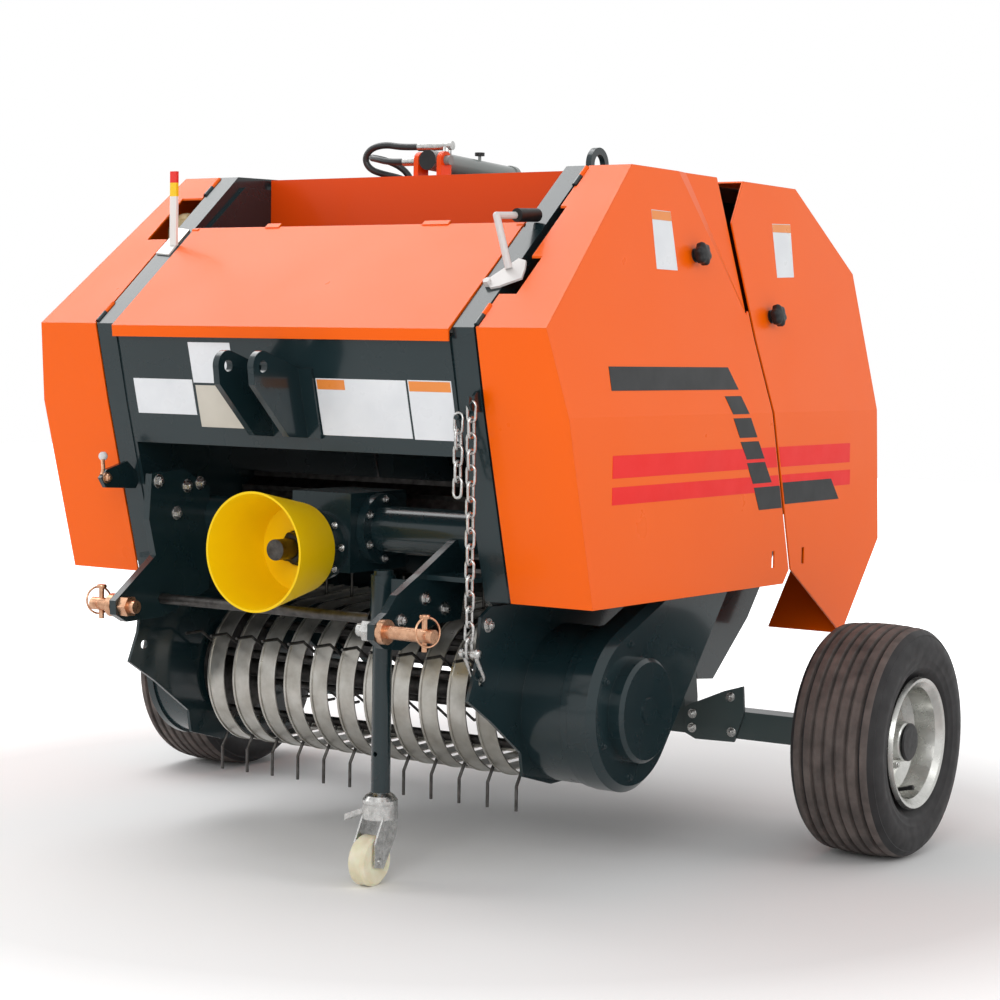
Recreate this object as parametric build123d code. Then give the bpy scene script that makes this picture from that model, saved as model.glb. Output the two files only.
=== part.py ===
# A mini round baler: a towed, mounted machine that picks up hay and rolls it into a small bale.
# Millimetres, +Z up, front (hitch, drive shaft and pickup) towards -Y, the machine's right hand
# seen from the front at +X. Sizes are written from the front corner of the side covers, and
# export_part() moves every piece back so that the origin lies on the ground under the middle.
import math
import os

from build123d import *

os.makedirs("parts", exist_ok=True)

# Origin: how far the middle of the whole machine lies behind the covers' front corner.
ORIGIN_BEHIND_FRONT = 531

# Clearances.
SEAT = 0.3
RUN = 6.0

# Wheels: 16 x 6.50-8 implement tyres.
WHEEL_X = 738.5
WHEEL_Y = 775.0
TYRE_RADIUS = 203.0
TYRE_WIDTH = 165.0
RIM_RADIUS = 103.0
RIM_FLANGE_RADIUS = 113.0
HUB_RADIUS = 42.0
AXLE_SIDE = 50.0
SPINDLE_RADIUS = 15.0
AXLE_END = WHEEL_X - 60
SPINDLE_END = WHEEL_X + 46
CLAMP_T = 6.0

# Chamber: the bale is 600 across and 690 wide.
CHAMBER_Y = 730.0
CHAMBER_Z = 700.0
BALE_RADIUS = 300.0
ROLLER_RADIUS = 70.0
ROLLER_RIB = 8.0
ROLLER_SHAFT_RADIUS = 15.0
WALL_IN = 345.0
WALL_T = 8.0
WALL_TOP = 1160.0
FRONT_ROLLER_ANGLES = (110, 140, 170, 200, 262)
REAR_ROLLER_ANGLES = (-70, -40, -10, 20, 50, 80)

# Side bars and covers: profile corners as (y, z).
BAR_OUT = 392.0
BAR_DEPTH = 30.0
COVER_IN = 396.0
COVER_OUT = 548.0
COVER_T = 3.0
LEAN_Z = 770.0
LEAN = 0.1733
NOSE = (0, 906)
CHIN = (32, 770)
TOE = (113, 469)
TOP_Z = 1178.0
BROW = (326, TOP_Z)
SEAM_GAP = 4.0
SEAM = ((797, 487), (716, 776), (684, 896), (657, 1046), (648, 1100))
FRONT_TOP_REAR = (630, TOP_Z)
FRONT_BOTTOM_REAR = (771, 463)
REAR_TOP_FRONT = (716, TOP_Z - 1)
REAR_TOP_REAR = (924, TOP_Z - 1)
REAR_SHOULDER = (1126, 1028)
REAR_FOLD = (1155, 775)
REAR_HEEL = (1175, 522)
REAR_TIP = (1021, 351)

REAR_SPREAD = 130.0
REAR_BAR = (
    (728, REAR_TOP_REAR[1]),
    REAR_TOP_REAR,
    REAR_SHOULDER,
    REAR_FOLD,
    (REAR_FOLD[0] + 14, 560),
    (REAR_FOLD[0] - 17, 560),
    (REAR_FOLD[0] - 31, 775),
    (REAR_SHOULDER[0] - 29, 1014),
    (915, 1147),
    (728, 1147),
)

# Tailgate hinge.
HINGE_Y = 653.0
HINGE_Z = 1106.0
HINGE_LUG = 28.0
HINGE_PIN = 11.0

# Door hinges: on the slopes of the top edge, at this half width.
DOOR_HINGE_X = 394.0
KNUCKLE_R = 4.0
KNUCKLE_LENGTH = 50.0
KNUCKLE_SPREAD = 364.0
DOOR_PIN_R = 1.8

# Covers: the joggle beside the seam as two lines from top to foot, slots, and cut-outs on the slopes.
JOGGLE_DEPTH = 6.0
JOGGLE_FRONT = ((483, TOP_Z), (661, 940))
JOGGLE_REAR = ((518, TOP_Z), (670, 947))
SLOT_W = 10.0
SLOT_H = 30.0
SLOT_Z = 509.0
SLOT_FRONT_Y = 730.0
SLOT_REAR_Y = 849.0
TWINE_CUT = (443, 183, 278)
CRANK_CUT = (428, 64, 138)
GROOVE_CUT = (408, 137, 240)

# Front panel, hood and top beam.
PANEL_HIGH = (NOSE[0], NOSE[1] - 6)
PANEL_LOW = (50, 702)
PANEL_T = 4.0
HOOD_HALF = 350.0
HOOD_T = 3.0
HOOD_REAR = (205, 1079)
HOOD_LIP = 19.0
HOOD_TABS = ((148, 201), (-187, -157))
HOOD_PIN_Y = 203.0
HOOD_PIN_Z = 1073.0
HOOD_PIN_R = 5.0
BEAM_Y = 412.0
BEAM_TOP = TOP_Z
BEAM_HIGH = 110.0
BEAM_DEEP = 70.0
BEAM_T = 5.0
TOWER_REAR = 490.0
BACK_T = 6.0
HOOK_X = 388.0
HOOK_T = 5.0
HOOK_Y = 4.0
HOOK_Z = 788.0

# Chains: links of 5 mm wire, the long one from its hook to a shackle on the pickup.
WIRE = 5.0
SPARE_INNER = 27.6
LINK_W = 20.0
LINK_SLACK = 2.4
LINK_NEST = 1.6
PIN_NEST = 4.7
CHAIN_LINKS = 16
SPARE_LINKS = 5
SHACKLE = (358.0, 52.0, 392.0)
SHACKLE_BOW = (84.0, 345.0)
SHACKLE_WIRE = 7.0
SHACKLE_W = 29.0
SHACKLE_EYE_R = 8.0
SHACKLE_PIN_R = 4.0
SPARE_PIN = (356.0, 16.0, 766.0)

# Crank, bale indicator, lifting eye and twine.
CRANK_T = 4.0
CRANK_ROD_R = 6.0
CRANK_BOLT = (364.0, 106.0)
GRIP_R = 11.0
STICK = (356.0, 371.0, 161.0, 167.0)
EYE_Y = 390.0
EYE_Z = 1184.0
EYE_R = 29.0
EYE_HOLE_R = 17.0
EYE_X = 373.0
EYE_T = 10.0
TWINE_X = -436.0
TWINE_Y = 285.0
TWINE_R = 37.0
TWINE_TOP = 1112.0
TWINE_SHELF = 955.0
TWINE_SHELF_T = 4.0

# Three-point hitch.
LINK_Y = -42.0
LINK_Z = 427.0
LINK_PIN_R = 11.0
SHOULDER_R = 20.0
SHOULDER_T = 12.0
LINK_NUT_R = 18.0
LINK_NUT_T = 18.0
HITCH_LEFT_X = -295.0
HITCH_RIGHT_X = 249.0
HITCH_T = 14.0
LINK_PIN_END = 357.0
TOP_LINK_Y = -80.0
TOP_LINK_Z = 839.0
TOP_LINK_HOLE = 10.0
EAR_X = 36.0
EAR_T = 12.0
EAR_R = 25.0
EAR_HIGH = 836.0
EAR_LOW = 722.0
EAR_BACK = (-58.0, 68.0)

# Drive.
PTO_Z = 537.0
PTO_TIP_Y = 7.0
PTO_RADIUS = 17.5
PTO_LENGTH = 54.0
PTO_NECK_R = 15.0
PTO_REAR_Y = 199.0
PTO_FIT = 0.08
GUARD_MOUTH_Y = -50.0
GUARD_REAR_Y = 70.0
GUARD_MOUTH_R = 99.0
GUARD_REAR_R = 76.0
GUARD_T = 4.0
GEARBOX_FRONT_Y = 110.0
GEARBOX_Y = 205.0
GEARBOX_HALF = 62.0
GEARBOX_LOW = 494.0
GEARBOX_NECK_R = 45.0
GEARBOX_FLANGE_R = 58.0
CROSS_SHAFT_Z = 566.0
CROSS_TUBE_R = 39.0
CROSS_FLANGE_R = 60.0

# Pickup.
REEL_Y = 335.0
REEL_Z = 283.0
BAND_RADIUS = 132.0
BAND_T = 2.5
BAND_WIDTH = 36.0
BAND_RISE = 8.0
BEAD_W = 4.0
BEAD_T = 1.8
BAND_REAR = 522.0
BAND_COUNT = 11
ANGLE_W = 24.0
ANGLE_T = 6.0
BAND_PITCH = 58.0
TINE_TIP_RADIUS = 196.0
TINE_R = 2.8
TINE_SIDES = 6
TINE_BEND = 158.0
TINE_BAR_R = 8.0
TINE_BAR_AT = 84.0
TINE_ROWS = 4
REEL_SHAFT_R = 17.5
PICKUP_SIDE_IN = 355.0
PICKUP_SIDE_T = 6.0
PICKUP_PIVOT_Y = 572.0
PICKUP_PIVOT_Z = 392.0
COVER_DRUM_R = 87.0
COVER_DRUM_RISE = 26.0
COVER_BOSS_R = 22.0
COVER_EDGE = 12.0
CHAIN_COVER_IN = 452.0
CHAIN_COVER_OUT = 500.0
CHAIN_COVER_R = 138.0
SPROCKET_Y = 610.0
SPROCKET_Z = 478.0
SPROCKET_R = 58.0

# Jack.
JACK_X = 183.0
JACK_Y = 60.0
JACK_POST_R = 16.0
JACK_SLEEVE_R = 20.5
CASTER_Y = 32.0
CASTER_R = 41.0
CASTER_W = 32.0
POST_FOOT = 150.0
POST_TOP = 512.0
POST_HOLE_Z = 213.0
DOME_R = 29.0
DOME_FOOT = 131.0
FORK_FOOT = 106.0
FORK_T = 3.0
CASTER_PIN_R = 5.0

# Tailgate cylinder: pivot on the beam, rod eye on the tailgate.
TUBE_Z = 1148.0
TUBE_HALF = 14.0
RAM_FOOT_RISE = 28.0
RAM_FOOT_Y = BEAM_Y + 28.0
RAM_FOOT_Z = BEAM_TOP + RAM_FOOT_RISE
RAM_EYE_RISE = 42.0
RAM_EYE_Y = 850.0
RAM_EYE_Z = TUBE_Z + RAM_EYE_RISE
RAM_BARREL_R = 18.0
RAM_ROD_R = 10.0
RAM_BARREL_LENGTH = 262.0
RAM_PIN_R = 9.0
RAM_LUG_X = 20.0
RAM_EYE_HALF = 16.0
RAM_LUG_T = 10.0
RAM_LUG_R = 16.0
RAM_CAP = 16.0
RAM_PORT = 45.0
PORT_R = 8.0
PORT_RISE = 32.0
FERRULE_END = 62.0
KNOB_AT = 150.0

# Hoses: from the cylinder's fittings round to the bulkhead fittings behind the beam.
RAM_REACH = math.hypot(RAM_EYE_Y - RAM_FOOT_Y, RAM_EYE_Z - RAM_FOOT_Z)
PORT_Y = RAM_FOOT_Y + (RAM_EYE_Y - RAM_FOOT_Y) * RAM_PORT / RAM_REACH
PORT_Z = RAM_FOOT_Z + (RAM_EYE_Z - RAM_FOOT_Z) * RAM_PORT / RAM_REACH
FERRULE_Z = PORT_Z + PORT_RISE
HOSE_R = 6.0
BULKHEAD_Z = 1120.0
BULKHEAD_T = 5.0
HOSE_UPPER = (
    (-FERRULE_END, PORT_Y, FERRULE_Z),
    (-98, PORT_Y, FERRULE_Z),
    (-138, 485, 1243),
    (-172, 486, 1237),
    (-187, 488, 1218),
    (-177, 492, 1199),
    (-149, 497, 1190),
    (-116, 503, 1183),
    (-86, 508, 1170),
    (-70, 511, 1148),
    (-70, 511, BULKHEAD_Z),
)
HOSE_LOWER = (
    (-FERRULE_END, RAM_FOOT_Y, RAM_FOOT_Z),
    (-94, RAM_FOOT_Y, RAM_FOOT_Z),
    (-126, 444, 1213),
    (-149, 457, 1217),
    (-158, 481, 1219),
    (-150, 505, 1216),
    (-129, 518, 1206),
    (-110, 523, 1189),
    (-102, 524, 1165),
    (-100, 524, 1142),
    (-100, 524, BULKHEAD_Z),
)

pieces = {}


def yz_plate(points, x_low, x_high):
    """A plate with its outline in the YZ plane, from x_low to x_high."""
    outline = Plane.YZ * make_face(Polyline(*points, close=True))
    return Pos(x_low, 0, 0) * extrude(outline, amount=x_high - x_low, dir=(1, 0, 0))


def xz_plate(points, y_low, y_high):
    """A plate with its outline in the XZ plane, from y_low to y_high."""
    outline = Plane.XZ * make_face(Polyline(*points, close=True))
    return Pos(0, y_low, 0) * extrude(outline, amount=y_high - y_low, dir=(0, 1, 0))


def rod(start, end, radius):
    """A round bar between two points."""
    start, end = Vector(*start), Vector(*end)
    length = (end - start).length
    return Solid.make_cylinder(radius, length, Plane(origin=start, z_dir=end - start))


def x_rod(x_low, x_high, y, z, radius):
    return rod((x_low, y, z), (x_high, y, z), radius)


def block(x_low, x_high, y_low, y_high, z_low, z_high):
    size = (x_high - x_low, y_high - y_low, z_high - z_low)
    middle = Pos((x_low + x_high) / 2, (y_low + y_high) / 2, (z_low + z_high) / 2)
    return middle * Box(*size)


def left_of(shape):
    """The left-hand copy of a right-hand piece."""
    return mirror(shape, about=Plane.YZ)


def moved_edges(points, offsets):
    """The polygon with edge i (from point i to the next) moved inwards by offsets[i]."""
    count = len(points)
    area = sum(
        points[i][0] * points[(i + 1) % count][1] - points[(i + 1) % count][0] * points[i][1]
        for i in range(count)
    )
    turn = 1 if area > 0 else -1
    lines = []
    for i, offset in enumerate(offsets):
        (y0, z0), (y1, z1) = points[i], points[(i + 1) % count]
        length = math.hypot(y1 - y0, z1 - z0)
        dy, dz = (y1 - y0) / length, (z1 - z0) / length
        lines.append((y0 - dz * offset * turn, z0 + dy * offset * turn, dy, dz))
    result = []
    for i in range(count):
        ya, za, dya, dza = lines[i - 1]
        yb, zb, dyb, dzb = lines[i]
        cross = dya * dzb - dza * dyb
        step = ((yb - ya) * dzb - (zb - za) * dyb) / cross
        result.append((ya + step * dya, za + step * dza))
    return result


def lean_section(inset, inner):
    """The covers' section across the machine: upright low down, leaning in above the fold."""
    out = COVER_OUT - inset
    high, low = 1400, 0
    return [
        (inner, low),
        (out, low),
        (out, LEAN_Z),
        (out - LEAN * (high - LEAN_Z), high),
        (inner, high),
    ]


def cover(points, walled):
    """A cover of folded sheet: its walled edges turn inwards, the others stay open."""
    open_by = -40
    outer = yz_plate(points, COVER_IN, COVER_OUT + 1) & xz_plate(lean_section(0, COVER_IN), -50, 1300)
    offsets = [COVER_T if wall else open_by for wall in walled]
    hollow = yz_plate(moved_edges(points, offsets), COVER_IN - 1, COVER_OUT + 1)
    hollow = hollow & xz_plate(lean_section(COVER_T, COVER_IN - 1), -100, 1400)
    return outer - hollow


def along(start, end, x=0):
    """The length of an edge between two (y, z) corners, and its point at a given distance."""
    (y0, z0), (y1, z1) = start, end
    length = math.hypot(y1 - y0, z1 - z0)

    def on(distance):
        share = distance / length
        return (x, y0 + (y1 - y0) * share, z0 + (z1 - z0) * share)

    return length, on


def knuckles(start, end, own, spread):
    """Hinge knuckles along a sloping edge: the carrier's have pins, the door's turn on them.

    own is True for the carrier. start and end are the edge's (y, z) corners."""
    length, on = along(start, end, DOOR_HINGE_X)
    half = KNUCKLE_LENGTH / 2
    result = None
    for centre in (length / 2 - spread / 2, length / 2 + spread / 2):
        if own:
            barrel = rod(on(centre - half), on(centre - SEAT), KNUCKLE_R)
            piece = barrel + rod(on(centre - half), on(centre + half), DOOR_PIN_R)
        else:
            bore = rod(on(centre - 1), on(centre + half + 1), DOOR_PIN_R + SEAT)
            piece = rod(on(centre), on(centre + half), KNUCKLE_R) - bore
        result = piece if result is None else result + piece
    return result


def knuckle_room(start, end, own, spread):
    """The space that the other side's knuckles need in a sloping edge."""
    length, on = along(start, end, DOOR_HINGE_X)
    half = KNUCKLE_LENGTH / 2 + 1
    result = None
    for centre in (length / 2 - spread / 2, length / 2 + spread / 2):
        low, high = (centre, centre + half) if own else (centre - half, centre)
        piece = rod(on(low - 1), on(high + 1), KNUCKLE_R + 1.5)
        result = piece if result is None else result + piece
    return result


def slope_plate(points, low, high):
    """A plate on the front slope: points are (x, distance up the slope), low and high its faces."""
    (y0, z0), (y1, z1) = NOSE, BROW
    plane = Plane(origin=(0, y0, z0), x_dir=(1, 0, 0), z_dir=(0, z0 - z1, y1 - y0))
    face = plane * make_face(Polyline(*points, close=True))
    return Pos(*(plane.z_dir * low)) * extrude(face, amount=high - low, dir=plane.z_dir)


def slope_room(x_low, x_high, y_low, y_high):
    """The space of a cut-out in a cover's front slope."""
    return block(x_low, x_high, y_low, y_high, NOSE[1] + 10, BROW[1] + 50)


def prism(start, end, radius, sides):
    """A thin bar with few flat sides between two points."""
    start, end = Vector(*start), Vector(*end)
    plane = Plane(origin=start, z_dir=end - start)
    face = plane * RegularPolygon(radius, sides)
    return extrude(face, amount=(end - start).length, dir=plane.z_dir)


def hexagon(x_low, x_high, y, z, radius):
    """A hexagonal nut or head across the machine."""
    face = Plane.YZ * (Pos(y, z) * RegularPolygon(radius, 6))
    return Pos(x_low, 0, 0) * extrude(face, amount=x_high - x_low, dir=(1, 0, 0))


def stadium(width, length):
    """Half-round ended outline, its ends as four chords each."""
    radius = width / 2
    points = []
    for end, start_angle in ((1, 0), (-1, 180)):
        for step in range(5):
            angle = math.radians(start_angle + 45 * step)
            offset = end * (length / 2 - radius)
            points.append((radius * math.cos(angle), offset + radius * math.sin(angle)))
    return make_face(Polyline(*points, close=True))


def link(centre, direction, across, inner_length):
    """A chain link: its long way along direction, its width towards across."""
    direction = Vector(*direction).normalized()
    across = Vector(*across)
    across = (across - direction * across.dot(direction)).normalized()
    normal = across.cross(direction)
    plane = Plane(origin=centre, x_dir=across, z_dir=normal)
    ring = stadium(LINK_W, inner_length + 2 * WIRE) - stadium(LINK_W - 2 * WIRE, inner_length)
    return Pos(*(normal * (-WIRE / 2))) * extrude(plane * ring, amount=WIRE, dir=normal)


def chain(start, end, count):
    """Links in a straight line, from the first one's inner end to the last one's."""
    start, end = Vector(*start), Vector(*end)
    direction = (end - start).normalized()
    inner = ((end - start).length + (count - 1) * LINK_SLACK) / count
    links = []
    for index in range(count):
        centre = start + direction * (inner / 2 + index * (inner - LINK_SLACK))
        across = (1, 0, 0) if index % 2 == 0 else (0, 1, 0)
        links.append(link(centre, direction, across, inner))
    return links


def hose(points, name):
    """A hose along straight runs joined by arcs as large as the runs allow."""
    route = [Vector(*point) for point in points]
    radii = []
    for before, here, after in zip(route, route[1:], route[2:]):
        turn = math.radians((here - before).get_angle(after - here))
        run = min((here - before).length, (after - here).length)
        radii.append(0.45 * run / math.tan(turn / 2))
    print(name, "radii", [round(radius) for radius in radii])
    path = FilletPolyline(*route, radius=radii)
    plane = Plane(origin=route[0], z_dir=route[1] - route[0])
    tube = sweep(plane * Circle(HOSE_R), path=path)
    print(name, "volume", round(tube.volume), "of", round(path.length * math.pi * HOSE_R**2))
    return tube


def chamber_point(angle, radius=BALE_RADIUS + ROLLER_RADIUS):
    """A point round the bale: 0 degrees is the rear, 90 the top."""
    return (
        CHAMBER_Y + radius * math.cos(math.radians(angle)),
        CHAMBER_Z + radius * math.sin(math.radians(angle)),
    )


def roller(angle):
    """A ribbed steel roller with its shaft ends in the side walls."""
    y, z = chamber_point(angle)
    points = []
    ribs = 10
    for rib in range(ribs):
        for share, radius in ((0, ROLLER_RADIUS - ROLLER_RIB), (0.8, ROLLER_RADIUS - ROLLER_RIB), (0.9, ROLLER_RADIUS)):
            a = 2 * math.pi * (rib + share) / ribs
            points.append((y + radius * math.cos(a), z + radius * math.sin(a)))
    drum = yz_plate(points, -WALL_IN + RUN, WALL_IN - RUN)
    return drum + x_rod(-WALL_IN + SEAT, WALL_IN - SEAT, y, z, ROLLER_SHAFT_RADIUS)


def front_wall():
    """The fixed half of the right chamber wall with its folded bar, tower and hinge lug."""
    seam = [(y - SEAM_GAP, z) for y, z in SEAM[:3]]
    seam_foot = SEAM[0][0] + 3 - SEAM_GAP
    lug = [
        (HINGE_Y - 5, HINGE_Z - 70),
        (HINGE_Y + HINGE_LUG * 0.7, HINGE_Z - HINGE_LUG * 0.7),
        (HINGE_Y + HINGE_LUG, HINGE_Z),
        (HINGE_Y + HINGE_LUG * 0.7, HINGE_Z + HINGE_LUG * 0.7),
        (HINGE_Y, HINGE_Z + HINGE_LUG),
    ]
    front = [(NOSE[0] + 6, NOSE[1] - 14), (CHIN[0] + 2, CHIN[1]), (TOE[0] + 2, TOE[1])]
    foot = [(150, 445), (430, 432), (530, 320), (600, 268), (770, 268), (seam_foot, 310), (seam_foot, 400)]
    outline = front + foot + seam + lug + [(600, WALL_TOP), (BROW[0] + 12, WALL_TOP)]
    wall = yz_plate(outline, WALL_IN, WALL_IN + WALL_T)
    bar = [
        TOE,
        CHIN,
        NOSE,
        BROW,
        (TOWER_REAR, BROW[1] + 4),
        (TOWER_REAR, BROW[1] - BAR_DEPTH),
        (BROW[0] + 10, BROW[1] - BAR_DEPTH),
        (NOSE[0] + 32, NOSE[1] - 12),
        (CHIN[0] + 31, CHIN[1] + 4),
        (TOE[0] + 30, TOE[1] + 6),
    ]
    wall = wall + yz_plate(bar, WALL_IN + WALL_T - 1, BAR_OUT)
    wall = wall - knuckle_room(NOSE, BROW, True, KNUCKLE_SPREAD)
    wall = wall + knuckles(NOSE, BROW, True, KNUCKLE_SPREAD)
    return wall - x_rod(WALL_IN - 1, WALL_IN + WALL_T + 1, HINGE_Y, HINGE_Z, HINGE_PIN)


def chain_holders():
    """The right bar's hook for the pickup's chain and the pin for the spare chain."""
    rear = CHIN[0] + 2
    outline = [
        (rear, HOOK_Z - 14),
        (rear, HOOK_Z + 20),
        (HOOK_Y + 12, HOOK_Z + 20),
        (HOOK_Y + 4, HOOK_Z + 12),
        (HOOK_Y + 4, HOOK_Z),
        (HOOK_Y - 4, HOOK_Z),
        (HOOK_Y - 4, HOOK_Z + 9),
        (HOOK_Y - 10, HOOK_Z + 12),
        (HOOK_Y - 12, HOOK_Z - 2),
        (HOOK_Y - 2, HOOK_Z - 11),
    ]
    hook = yz_plate(outline, HOOK_X - HOOK_T / 2, HOOK_X + HOOK_T / 2)
    x, y, z = SPARE_PIN
    return hook, rod((x, y - 8, z), (x, CHIN[0] + 8, z), SHACKLE_PIN_R)


def left_fittings():
    """The left wall's twine shelf and the lug on its front bar."""
    wall_face = -WALL_IN - WALL_T + 1
    reach = TWINE_R + 3
    shelf_top = TWINE_SHELF - SEAT
    shelf = block(TWINE_X - reach, wall_face, TWINE_Y - reach, TWINE_Y + reach, shelf_top - TWINE_SHELF_T, shelf_top)
    gusset = yz_plate(
        [(TWINE_Y - 4, shelf_top - 60), (TWINE_Y + 4, shelf_top - 60), (TWINE_Y + 4, shelf_top), (TWINE_Y - 4, shelf_top)],
        TWINE_X,
        wall_face,
    )
    lug = yz_plate([(40, 668), (-12, 655), (-26, 641), (-14, 624), (62, 620), (75, 640)], -364, -356)
    return shelf, gusset, lug


def pin_lug(x_low, x_high, y, z, foot_z, radius):
    """A lug that rises from foot_z and rounds over a cross pin."""
    return block(x_low, x_high, y - radius, y + radius, foot_z, z) + x_rod(x_low, x_high, y, z, radius)


def tailgate():
    """The rear half: two walls joined by cross tubes, with hinge arms and the ram's lug."""
    seam = [(y + SEAM_GAP, z) for y, z in SEAM[:3]]
    seam_foot = SEAM[0][0] + 3 + SEAM_GAP
    outline = [(seam_foot, 310), (seam_foot, 400)] + seam
    outline += [
        (HINGE_Y + HINGE_LUG + RUN + 6, HINGE_Z - 70),
        (HINGE_Y + HINGE_LUG + RUN + 2, HINGE_Z),
        (716, WALL_TOP),
        (920, WALL_TOP),
        (1112, 1022),
        (1140, 775),
        (1158, 526),
        (1015, 366),
        (880, 262),
        (820, 268),
    ]
    arm = [
        (HINGE_Y - 24, HINGE_Z - 12),
        (HINGE_Y - 12, HINGE_Z + 22),
        (HINGE_Y + 14, HINGE_Z + 26),
        (790, 1150),
        (800, 1040),
        (740, 1010),
        (HINGE_Y + 8, HINGE_Z - 27),
    ]
    arm_in = WALL_IN + WALL_T + RUN
    arm_out = arm_in + WALL_T
    wall = yz_plate(outline, WALL_IN, WALL_IN + WALL_T)
    wall = wall + yz_plate(arm, arm_in, arm_out)
    wall = wall + yz_plate([(715, 1120), (785, 1130), (790, 1050), (740, 1040)], WALL_IN + WALL_T, arm_in)
    wall = wall + x_rod(WALL_IN, arm_out, HINGE_Y, HINGE_Z, HINGE_PIN - SEAT)
    rear_bar = yz_plate(REAR_BAR, WALL_IN + WALL_T - 1, BAR_OUT)
    rear_bar = rear_bar - knuckle_room(REAR_TOP_REAR, REAR_SHOULDER, True, REAR_SPREAD)
    wall = wall + rear_bar + knuckles(REAR_TOP_REAR, REAR_SHOULDER, True, REAR_SPREAD)
    body = wall + left_of(wall)
    for y, z in ((RAM_EYE_Y, TUBE_Z), (1112, 985)):
        body = body + block(-WALL_IN, WALL_IN, y - 20, y + 20, z - TUBE_HALF, z + TUBE_HALF)
    for x in (-RAM_EYE_HALF - RAM_LUG_T, RAM_EYE_HALF):
        body = body + pin_lug(x, x + RAM_LUG_T, RAM_EYE_Y, RAM_EYE_Z, TUBE_Z, RAM_LUG_R)
    return body - x_rod(-30, 30, RAM_EYE_Y, RAM_EYE_Z, RAM_PIN_R)


def tyre(x):
    half = TYRE_WIDTH / 2
    crown = [
        (-58, RIM_RADIUS + SEAT),
        (-62, RIM_RADIUS + 14),
        (-half + 4, 142),
        (-half, 165),
        (-half + 3, 182),
        (-half + 16, 195),
        (-36, TYRE_RADIUS - 2),
        (0, TYRE_RADIUS),
        (36, TYRE_RADIUS - 2),
        (half - 16, 195),
        (half - 3, 182),
        (half, 165),
        (half - 4, 142),
        (62, RIM_RADIUS + 14),
        (58, RIM_RADIUS + SEAT),
    ]
    outline = [(x + px, r) for px, r in crown]
    face = make_face(Polyline(*outline, close=True))
    ring = revolve(face, axis=Axis.X, revolution_arc=360)
    return Pos(0, WHEEL_Y, TYRE_RADIUS) * Rot(90, 0, 0) * ring


def rim(x, side):
    """A dished steel rim with its hub, turning on the spindle."""
    section = [
        (70, RIM_FLANGE_RADIUS + 3),
        (78, RIM_FLANGE_RADIUS),
        (76, RIM_FLANGE_RADIUS - 6),
        (66, RIM_RADIUS - 5),
        (30, RIM_RADIUS - 12),
        (14, RIM_RADIUS - 22),
        (8, HUB_RADIUS + 12),
        (20, HUB_RADIUS),
        (52, HUB_RADIUS - 8),
        (56, HUB_RADIUS - 12),
        (56, 0),
        (48, 0),
        (48, SPINDLE_RADIUS + SEAT),
        (-50, SPINDLE_RADIUS + SEAT),
        (-50, HUB_RADIUS - 10),
        (-12, HUB_RADIUS - 6),
        (0, HUB_RADIUS + 12),
        (4, RIM_RADIUS - 16),
        (-60, RIM_RADIUS - 6),
        (-74, RIM_FLANGE_RADIUS - 6),
        (-78, RIM_FLANGE_RADIUS),
        (-72, RIM_FLANGE_RADIUS + 3),
        (-64, RIM_RADIUS),
        (64, RIM_RADIUS),
    ]
    outline = [(x + side * px, r) for px, r in section]
    face = make_face(Polyline(*outline, close=True))
    ring = revolve(face, axis=Axis.X, revolution_arc=360)
    return Pos(0, WHEEL_Y, TYRE_RADIUS) * Rot(90, 0, 0) * ring


def axle():
    half = AXLE_SIDE / 2
    front = WHEEL_Y - half
    rear = WHEEL_Y + half
    body = block(-AXLE_END, AXLE_END, front, rear, TYRE_RADIUS - half, TYRE_RADIUS + half)
    body = body + x_rod(-SPINDLE_END, SPINDLE_END, WHEEL_Y, TYRE_RADIUS, SPINDLE_RADIUS)
    hanger = [(660, 430), (790, 430), (790, 300), (rear, 240), (rear, TYRE_RADIUS - half)]
    hanger += [(front, TYRE_RADIUS - half), (front, 240), (640, 330)]
    clamp = [(449, 263), (487, 275), (490, 224), (471, 172), (392, 170), (369, 180), (369, 228)]
    for side in (1, -1):
        low, high = sorted((side * (WALL_IN + WALL_T), side * (WALL_IN + WALL_T + 12)))
        body = body + yz_plate(hanger, low, high)
        body = body + xz_plate([(side * x, z) for x, z in clamp], front - CLAMP_T, front)
    return body


def hoop(outer, inner, x_low, x_high):
    """A C of sheet round the reel's front, its legs running back to the cross angles."""
    legs = ((outer, BAND_RISE + outer - BAND_RADIUS), (inner, BAND_RISE + inner - BAND_RADIUS))
    (outer, outer_rise), (inner, inner_rise) = legs
    crest = REEL_Z + BAND_RADIUS
    edges = [
        Line((BAND_REAR, crest + outer_rise), (REEL_Y, REEL_Z + outer)),
        ThreePointArc((REEL_Y, REEL_Z + outer), (REEL_Y - outer, REEL_Z), (REEL_Y, REEL_Z - outer)),
        Line((REEL_Y, REEL_Z - outer), (BAND_REAR, REEL_Z - outer)),
        Line((BAND_REAR, REEL_Z - outer), (BAND_REAR, REEL_Z - inner)),
        Line((BAND_REAR, REEL_Z - inner), (REEL_Y, REEL_Z - inner)),
        ThreePointArc((REEL_Y, REEL_Z - inner), (REEL_Y - inner, REEL_Z), (REEL_Y, REEL_Z + inner)),
        Line((REEL_Y, REEL_Z + inner), (BAND_REAR, crest + inner_rise)),
        Line((BAND_REAR, crest + inner_rise), (BAND_REAR, crest + outer_rise)),
    ]
    face = Plane.YZ * make_face(edges)
    return Pos(x_low, 0, 0) * extrude(face, amount=x_high - x_low, dir=(1, 0, 0))


def band(x):
    """One stripper band with the folded bead along its left edge."""
    left = x - BAND_WIDTH / 2
    inner = BAND_RADIUS - BAND_T
    return hoop(BAND_RADIUS, inner, left, left + BAND_WIDTH) + hoop(BAND_RADIUS + BEAD_T, inner, left, left + BEAD_W)


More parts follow.
